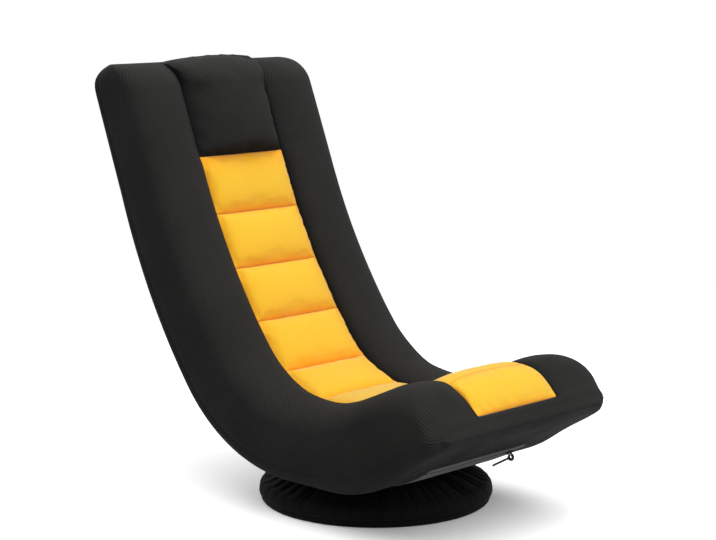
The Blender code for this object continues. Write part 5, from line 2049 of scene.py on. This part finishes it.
@dataclass
class SwivelBase:
    """Cloth over the round base: padded rim, gathered skirt and non-slip sheet."""

    finishes: Finishes
    stitcher: NodeTool
    radius: float = 0.207
    rim_height: float = 0.034
    rim_wall: float = 0.0075
    rim_bulge: float = 0.014
    rim_power: float = 0.8
    rim_steps: int = 20
    rim_columns: int = 360
    rim_fill: float = 0.8
    foot_power: float = 0.35
    ripple: float = 0.00022
    ripples: int = 6
    ripple_counts: tuple[int, int] = (9, 60)
    tube_radius: float = 0.011
    tube_room: float = 1.06
    tube_steps: int = 8
    sheet: float = 0.003
    lap: float = 0.004
    run_gap: float = 0.0006
    neck_radius: float = 0.116
    neck_drop: float = 0.004
    skirt_thickness: float = 0.0014
    skirt_rows: int = 15
    skirt_slack: float = 1.05
    belly: float = 0.006
    hem_turn: float = math.radians(-12.0)
    hem_rows: int = 8
    seam_turn: float = 0.12
    seam_lift: float = 0.0004
    seam_points: int = 360
    folds: int = 46
    fold_depth: float = 0.0055
    fold_start: float = 0.12
    fold_run: float = 0.75
    fold_power: float = 0.8
    fold_shift: float = 0.28
    fold_widths: Point2 = (0.018, 0.045)
    fold_depths: Point2 = (0.45, 1.0)
    columns: int = 720
    sheet_columns: int = 120
    sheet_edge: float = 0.0006
    sheet_shares: tuple[float, ...] = (0.02, 0.25, 0.5, 0.75, 0.97)

    @property
    def ring_radius(self) -> float:
        """Radius of the steel ring's centre line."""
        return self.radius - self.rim_wall - self.tube_radius

    @property
    def low_radius(self) -> float:
        """Radius at which the skirt leaves the rim."""
        return self.radius - self.rim_bulge

    @property
    def low_z(self) -> float:
        """Height at which the skirt leaves the rim."""
        return self.rim_height + PAD.gap

    @property
    def top_z(self) -> float:
        """Height of the skirt's neck."""
        return PAD.underside_z - self.neck_drop

    def turned(
        self, name: str, profiles: Callable[[float], Sequence[Point2]], columns: int
    ) -> bpy.types.Object:
        """Makes a closed ring of one profile.

        Args:
            name: Name of the piece.
            profiles: Gives the profile as (radius, height) at an angle.
            columns: Number of steps round the ring.

        Returns:
            The piece.
        """
        angles = [TURN * k / columns for k in range(columns)]
        rings = []
        for angle in angles:
            points = [(r * math.cos(angle), r * math.sin(angle), z) for r, z in profiles(angle)]
            rings.append(np.array(points))
        along = [angle * self.radius for angle in angles + [TURN]]
        return Skin.through(rings, along, closed=True).piece(name)

    def build(self) -> None:
        """Makes rim, skirt and floor sheet."""
        self.build_rim()
        self.build_skirt()
        self.build_sheet()

    def rim_line(self, ripple: float) -> list[Point2]:
        """Profile of the padded rim round the steel ring.

        Args:
            ripple: How far the cloth stands out at its widest line.

        Returns:
            Points as (radius, height).
        """
        mid = self.rim_height / 2
        room = self.tube_radius * self.tube_room + self.run_gap
        inside = self.ring_radius - self.lap
        ring_z = self.sheet + PAD.gap + self.tube_radius
        line = []
        for k in range(self.rim_steps + 1):
            turn = math.pi * (0.5 - k / self.rim_steps)
            bulge = self.rim_bulge * abs(math.cos(turn)) ** (self.rim_power if turn > 0 else self.foot_power)
            line.append((self.low_radius + bulge + ripple * math.cos(turn), mid + mid * math.sin(turn)))
        line += [(inside + self.run_gap, PAD.gap), (inside + self.run_gap, ring_z - room - PAD.gap)]
        for k in range(self.tube_steps + 1):
            turn = math.pi * (k / self.tube_steps - 0.5)
            line.append((self.ring_radius + room * math.cos(turn), ring_z + room * math.sin(turn)))
        return line + [(inside, self.rim_height - self.rim_wall / 2), (inside, self.rim_height)]

    def build_rim(self) -> None:
        """Makes the padded rim round the steel ring."""
        rng = np.random.default_rng(SEED)
        phases = rng.uniform(0, TURN, self.ripples)
        tucks = rng.integers(*self.ripple_counts, self.ripples)

        def profile(angle: float) -> list[Point2]:
            """Profile of the rim at an angle, with the cloth's ripples."""
            ripple = sum(math.sin(n * angle + p) for n, p in zip(tucks, phases)) * self.ripple
            return self.rim_line(ripple)

        rim = self.turned("rim_pad", profile, self.rim_columns)
        self.finishes.fit(rim, Slot.SKIRT_CLOTH, Body.BASE, "base_rim_cover", fill=self.rim_fill)

    def fold_field(self) -> Callable[[float], float]:
        """Depth of the gathers round the skirt.

        Returns:
            A function of the angle, from 0 on a ridge to 1 in a fold.
        """
        rng = np.random.default_rng(SEED + 1)
        places = np.arange(self.folds) + rng.uniform(-self.fold_shift, self.fold_shift, self.folds)
        centres = places * 2 * math.pi / self.folds
        widths = rng.uniform(*self.fold_widths, self.folds)
        depths = rng.uniform(*self.fold_depths, self.folds)

        def depth(angle: float) -> float:
            """Depth of the gathers at an angle."""
            apart = (angle - centres + math.pi) % TURN - math.pi
            return float(min(1.0, np.sum(depths * np.exp(-((apart / widths) ** 2)))))

        return depth

    def shoulder(self, turn: float, lift: float) -> Point2:
        """Point over the rim's rounded outside.

        Args:
            turn: Angle up from the rim's widest line.
            lift: Distance off its surface.

        Returns:
            Radius and height.
        """
        bulge = self.rim_bulge * abs(math.cos(turn)) ** self.rim_power
        radius = self.low_radius + bulge + lift * math.cos(turn)
        return radius, self.rim_height / 2 * (1 + math.sin(turn)) + lift * math.sin(turn)

    def skirt_line(self, wave: float) -> list[Point2]:
        """Profile of the skirt, up its outside and down its inside.

        Args:
            wave: Depth of the gathers, from 0 to 1.

        Returns:
            Points as (radius, height).
        """
        thick = self.skirt_thickness
        low = self.low_z + 2 * thick
        outer, inner = [], []
        for turn in np.linspace(self.hem_turn, math.pi / 2, self.hem_rows)[:-1]:
            loose = math.sin((turn - self.hem_turn) / (math.pi / 2 - self.hem_turn) * math.pi / 2)
            outer.append(self.shoulder(float(turn), thick + PAD.gap + (1 - wave) * thick * loose))
            inner.append(self.shoulder(float(turn), PAD.gap))
        for share in np.linspace(0.0, 1.0, self.skirt_rows):
            reach = self.low_radius + (self.neck_radius - self.low_radius) * share
            height = low + (self.top_z - low) * share + self.belly * math.sin(math.pi * share)
            gather = math.sin(math.pi * min(1.0, self.fold_start + self.fold_run * share)) ** self.fold_power
            drop = self.fold_depth * wave * gather
            outer.append((reach - drop / 2, min(self.top_z, height) - drop))
            inner.append((outer[-1][0] - thick, max(self.low_z, outer[-1][1] - thick)))
        return outer + inner[::-1]

    def build_skirt(self) -> None:
        """Makes the gathered cloth cone from the rim's shoulder to the neck under the seat."""
        depth = self.fold_field()
        skirt = self.turned("gathered_skirt", lambda angle: self.skirt_line(depth(angle)), self.columns)
        # Painted shade in the gathers' folds, deepest where the folds are deepest.
        waves = [depth(TURN * k / self.columns) for k in range(self.columns)]
        crease_shade = np.repeat(np.array(waves, np.float32), len(skirt.data.vertices) // self.columns)
        skirt.data.attributes[CREASE_SHADE_NAME].data.foreach_set("value", crease_shade)
        self.finishes.fit(skirt, Slot.SKIRT_CLOTH, Body.BASE, "base_skirt")
        foot, neck = (self.low_radius, self.low_z), (self.neck_radius, self.top_z)
        slant = math.dist(foot, neck) * self.skirt_slack
        slant += math.dist(self.shoulder(self.hem_turn, 0.0), foot)
        r, z = self.shoulder(self.hem_turn + self.seam_turn, self.skirt_thickness + self.seam_lift)
        circle = [TURN * k / self.seam_points for k in range(self.seam_points + 1)]
        line = np.array([(r * math.cos(a), r * math.sin(a), z) for a in circle])
        seam = self.stitcher.run("skirt_seam", [line], self.finishes.threads["black_thread"], SKIRT_STITCH)
        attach(seam, Body.BASE.value)

    def build_sheet(self) -> None:
        """Makes the non-slip sheet under the base."""
        low_box, high_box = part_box("floor_sheet")
        edge = (high_box[0] - low_box[0]) / 2
        low, top = low_box[2], high_box[2]
        line = [(edge * share, top) for share in self.sheet_shares]
        line += [(edge, top - self.sheet_edge), (edge, low + self.sheet_edge)]
        line += [(edge * share, low) for share in reversed(self.sheet_shares)]
        sheet = self.turned("grip_sheet", lambda _: line, self.sheet_columns)
        self.finishes.fit(sheet, Slot.RUBBER, Body.BASE, "floor_sheet")


class SteelWork:
    """Materials of the solids that stay in view of the scene as they are."""

    PLATED = ("bearing", "pin", "rivet", "pawl")

    def __init__(self, finishes: Finishes) -> None:
        """Keeps the materials."""
        self.finishes = finishes

    def slot_of(self, name: str) -> Slot:
        """Finish of a solid by its name.

        Args:
            name: Name of the node.

        Returns:
            Its material slot.
        """
        if "strap" in name:
            return Slot.WEBBING
        if any(word in name for word in self.PLATED):
            return Slot.ZINC_STEEL
        return Slot.FRAME_PAINT

    def build(self, nodes: dict[str, bpy.types.Object]) -> None:
        """Dresses each solid that no piece stands for.

        Args:
            nodes: Nodes of the frame by name.
        """
        for name, node in nodes.items():
            if node.hide_render:
                continue
            slot = self.slot_of(name)
            node.data.materials.clear()
            node.data.materials.append(self.finishes.by_slot[slot])
            LOG.info("%s: %s", name, slot.value)


# Studio


@dataclass(frozen=True)
class SoftBox:
    """One square studio light."""

    name: str
    place: Point3
    size: float
    power: float
    aim: Point3 = (0.0, 0.0, 0.3)
    reach: Reach = Reach.CHAIR

    def build(self, floor: bpy.types.Object) -> None:
        """Puts the light in the scene.

        Args:
            floor: The floor, which has a light of its own.
        """
        data = bpy.data.lights.new(self.name, "AREA")
        data.shape = "SQUARE"
        data.size = self.size
        data.energy = self.power
        light = linked(self.name, data)
        light.location = self.place
        light.rotation_euler = (Vector(self.aim) - Vector(self.place)).to_track_quat("-Z", "Y").to_euler()
        receivers = bpy.data.collections.new(f"{self.name}_receivers")
        receivers.objects.link(floor)
        receivers.collection_objects[0].light_linking.link_state = self.reach.value
        light.light_linking.receiver_collection = receivers


@dataclass(frozen=True)
class Studio:
    """Pale floor, soft light and the camera at the photograph's angle."""

    azimuth: float = math.radians(-45.8)
    elevation: float = math.radians(9.07)
    distance: float = 3.38
    target: Point3 = (0.0, 0.0447, 0.4053)
    lens: float = 95.53
    sensor: float = 36.0
    floor_radius: float = 3.2
    floor_sides: int = 96
    floor_drop: float = 0.0004
    floor_fade: Point2 = (1.0, 2.4)
    floor_tones: tuple[Colour, Colour] = (grey(0.93), grey(0.9))
    floor_bounce: Colour = grey(0.3)
    floor_grain: Point2 = (4.0, 3.0)
    floor_grain_share: float = 0.02
    floor_roughness: float = 0.9
    floor_specular: float = 0.1
    floor_glow: float = 0.2
    ambient: float = 0.31
    lights: tuple[SoftBox, ...] = (
        SoftBox("key", (-1.2, -2.3, 2.4), 2.0, 44.0),
        SoftBox("front", (0.9, -2.5, 2.6), 2.0, 46.0),
        SoftBox("top", (0.0, 0.2, 3.0), 1.6, 38.0),
        SoftBox("rear", (1.2, 2.6, 1.8), 1.6, 12.0),
        SoftBox("floor", (0.0, -0.2, 2.2), 4.5, 155.0, (0.0, -0.2, 0.0), Reach.FLOOR),
    )

    def build(self) -> None:
        """Makes floor, lights, world and camera."""
        floor = self.build_floor()
        for light in self.lights:
            light.build(floor)
        self.build_world()
        self.build_camera()
        bpy.context.scene.view_settings.view_transform = "Standard"

    def build_floor(self) -> bpy.types.Object:
        """Makes the round floor, which fades out at its rim.

        Returns:
            The floor.
        """
        work = bmesh.new()
        bmesh.ops.create_circle(work, cap_ends=True, radius=self.floor_radius, segments=self.floor_sides)
        floor = linked("studio_floor", poured("studio_floor", work))
        floor.location.z = -self.floor_drop
        floor.data.materials.append(self.floor_material())
        return floor

    def floor_material(self) -> bpy.types.Material:
        """Builds the floor's material, pale where it is seen and dull where it lights the chair.

        Returns:
            The material.
        """
        shader = Shader("studio_floor")
        grain = shader.math("MULTIPLY", shader.noise(*self.floor_grain), self.floor_grain_share)
        seen = seen_rays(shader.tree)
        shader.fill(
            {
                "Base Color": shader.mix(seen, self.floor_bounce, shader.mix(grain, *self.floor_tones)),
                "Roughness": self.floor_roughness,
                "Specular IOR Level": self.floor_specular,
                "Emission Color": (1.0, 1.0, 1.0),
                "Emission Strength": shader.math("MULTIPLY", seen, self.floor_glow),
            }
        )
        reach = shader.node("ShaderNodeVectorMath", operation="LENGTH")
        shader.put(reach.inputs[0], shader.place())
        clear = shader.node("ShaderNodeBsdfTransparent").outputs["BSDF"]
        fade = shader.node("ShaderNodeMixShader")
        share = shader.ramp(reach.outputs["Value"], self.floor_fade)
        for socket, value in zip(fade.inputs, (share, shader.surface.outputs["BSDF"], clear)):
            shader.put(socket, value)
        shader.put(shader.output.inputs["Surface"], fade.outputs["Shader"])
        return shader.material

    def build_world(self) -> None:
        """Makes the white surroundings, which light the chair less than they show."""
        world = bpy.data.worlds.new("studio")
        world.use_nodes = True
        bpy.context.scene.world = world
        tree = world.node_tree
        tree.nodes.clear()
        mix = add_node(tree, "ShaderNodeMixShader")
        tree.links.new(seen_rays(tree), mix.inputs[0])
        for index, strength in ((1, self.ambient), (2, 1.0)):
            white = add_node(tree, "ShaderNodeBackground")
            white.inputs["Color"].default_value = (1.0, 1.0, 1.0, 1.0)
            white.inputs["Strength"].default_value = strength
            tree.links.new(white.outputs[0], mix.inputs[index])
        tree.links.new(mix.outputs[0], add_node(tree, "ShaderNodeOutputWorld").inputs["Surface"])

    def build_camera(self) -> None:
        """Makes the camera."""
        data = bpy.data.cameras.new("camera")
        data.lens = self.lens
        data.sensor_width = self.sensor
        level = math.cos(self.elevation)
        x, y = math.sin(self.azimuth) * level, -math.cos(self.azimuth) * level
        back = Vector((x, y, math.sin(self.elevation)))
        camera = linked("camera", data)
        camera.location = Vector(self.target) + back * self.distance
        camera.rotation_euler = (-back).to_track_quat("-Z", "Y").to_euler()
        bpy.context.scene.camera = camera


def clear_scene() -> None:
    """Empties the startup scene."""
    for thing in list(bpy.data.objects):
        bpy.data.objects.remove(thing)


def main() -> None:
    """Builds the chair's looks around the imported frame."""
    logging.basicConfig(level=logging.INFO, format="%(name)s %(message)s")
    clear_scene()
    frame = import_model()
    Studio().build()
    finishes = Finishes()
    stitcher = NodeTool("repeat_along")
    PadCover(finishes).build()
    QuiltedStrip(finishes, stitcher).build()
    GreyPanels(finishes, stitcher).build()
    ZipFastener(finishes, stitcher).build()
    SwivelBase(finishes, stitcher).build()
    SteelWork(finishes).build(frame["nodes"])
    bpy.context.view_layer.update()


if __name__ == "__main__":
    main()
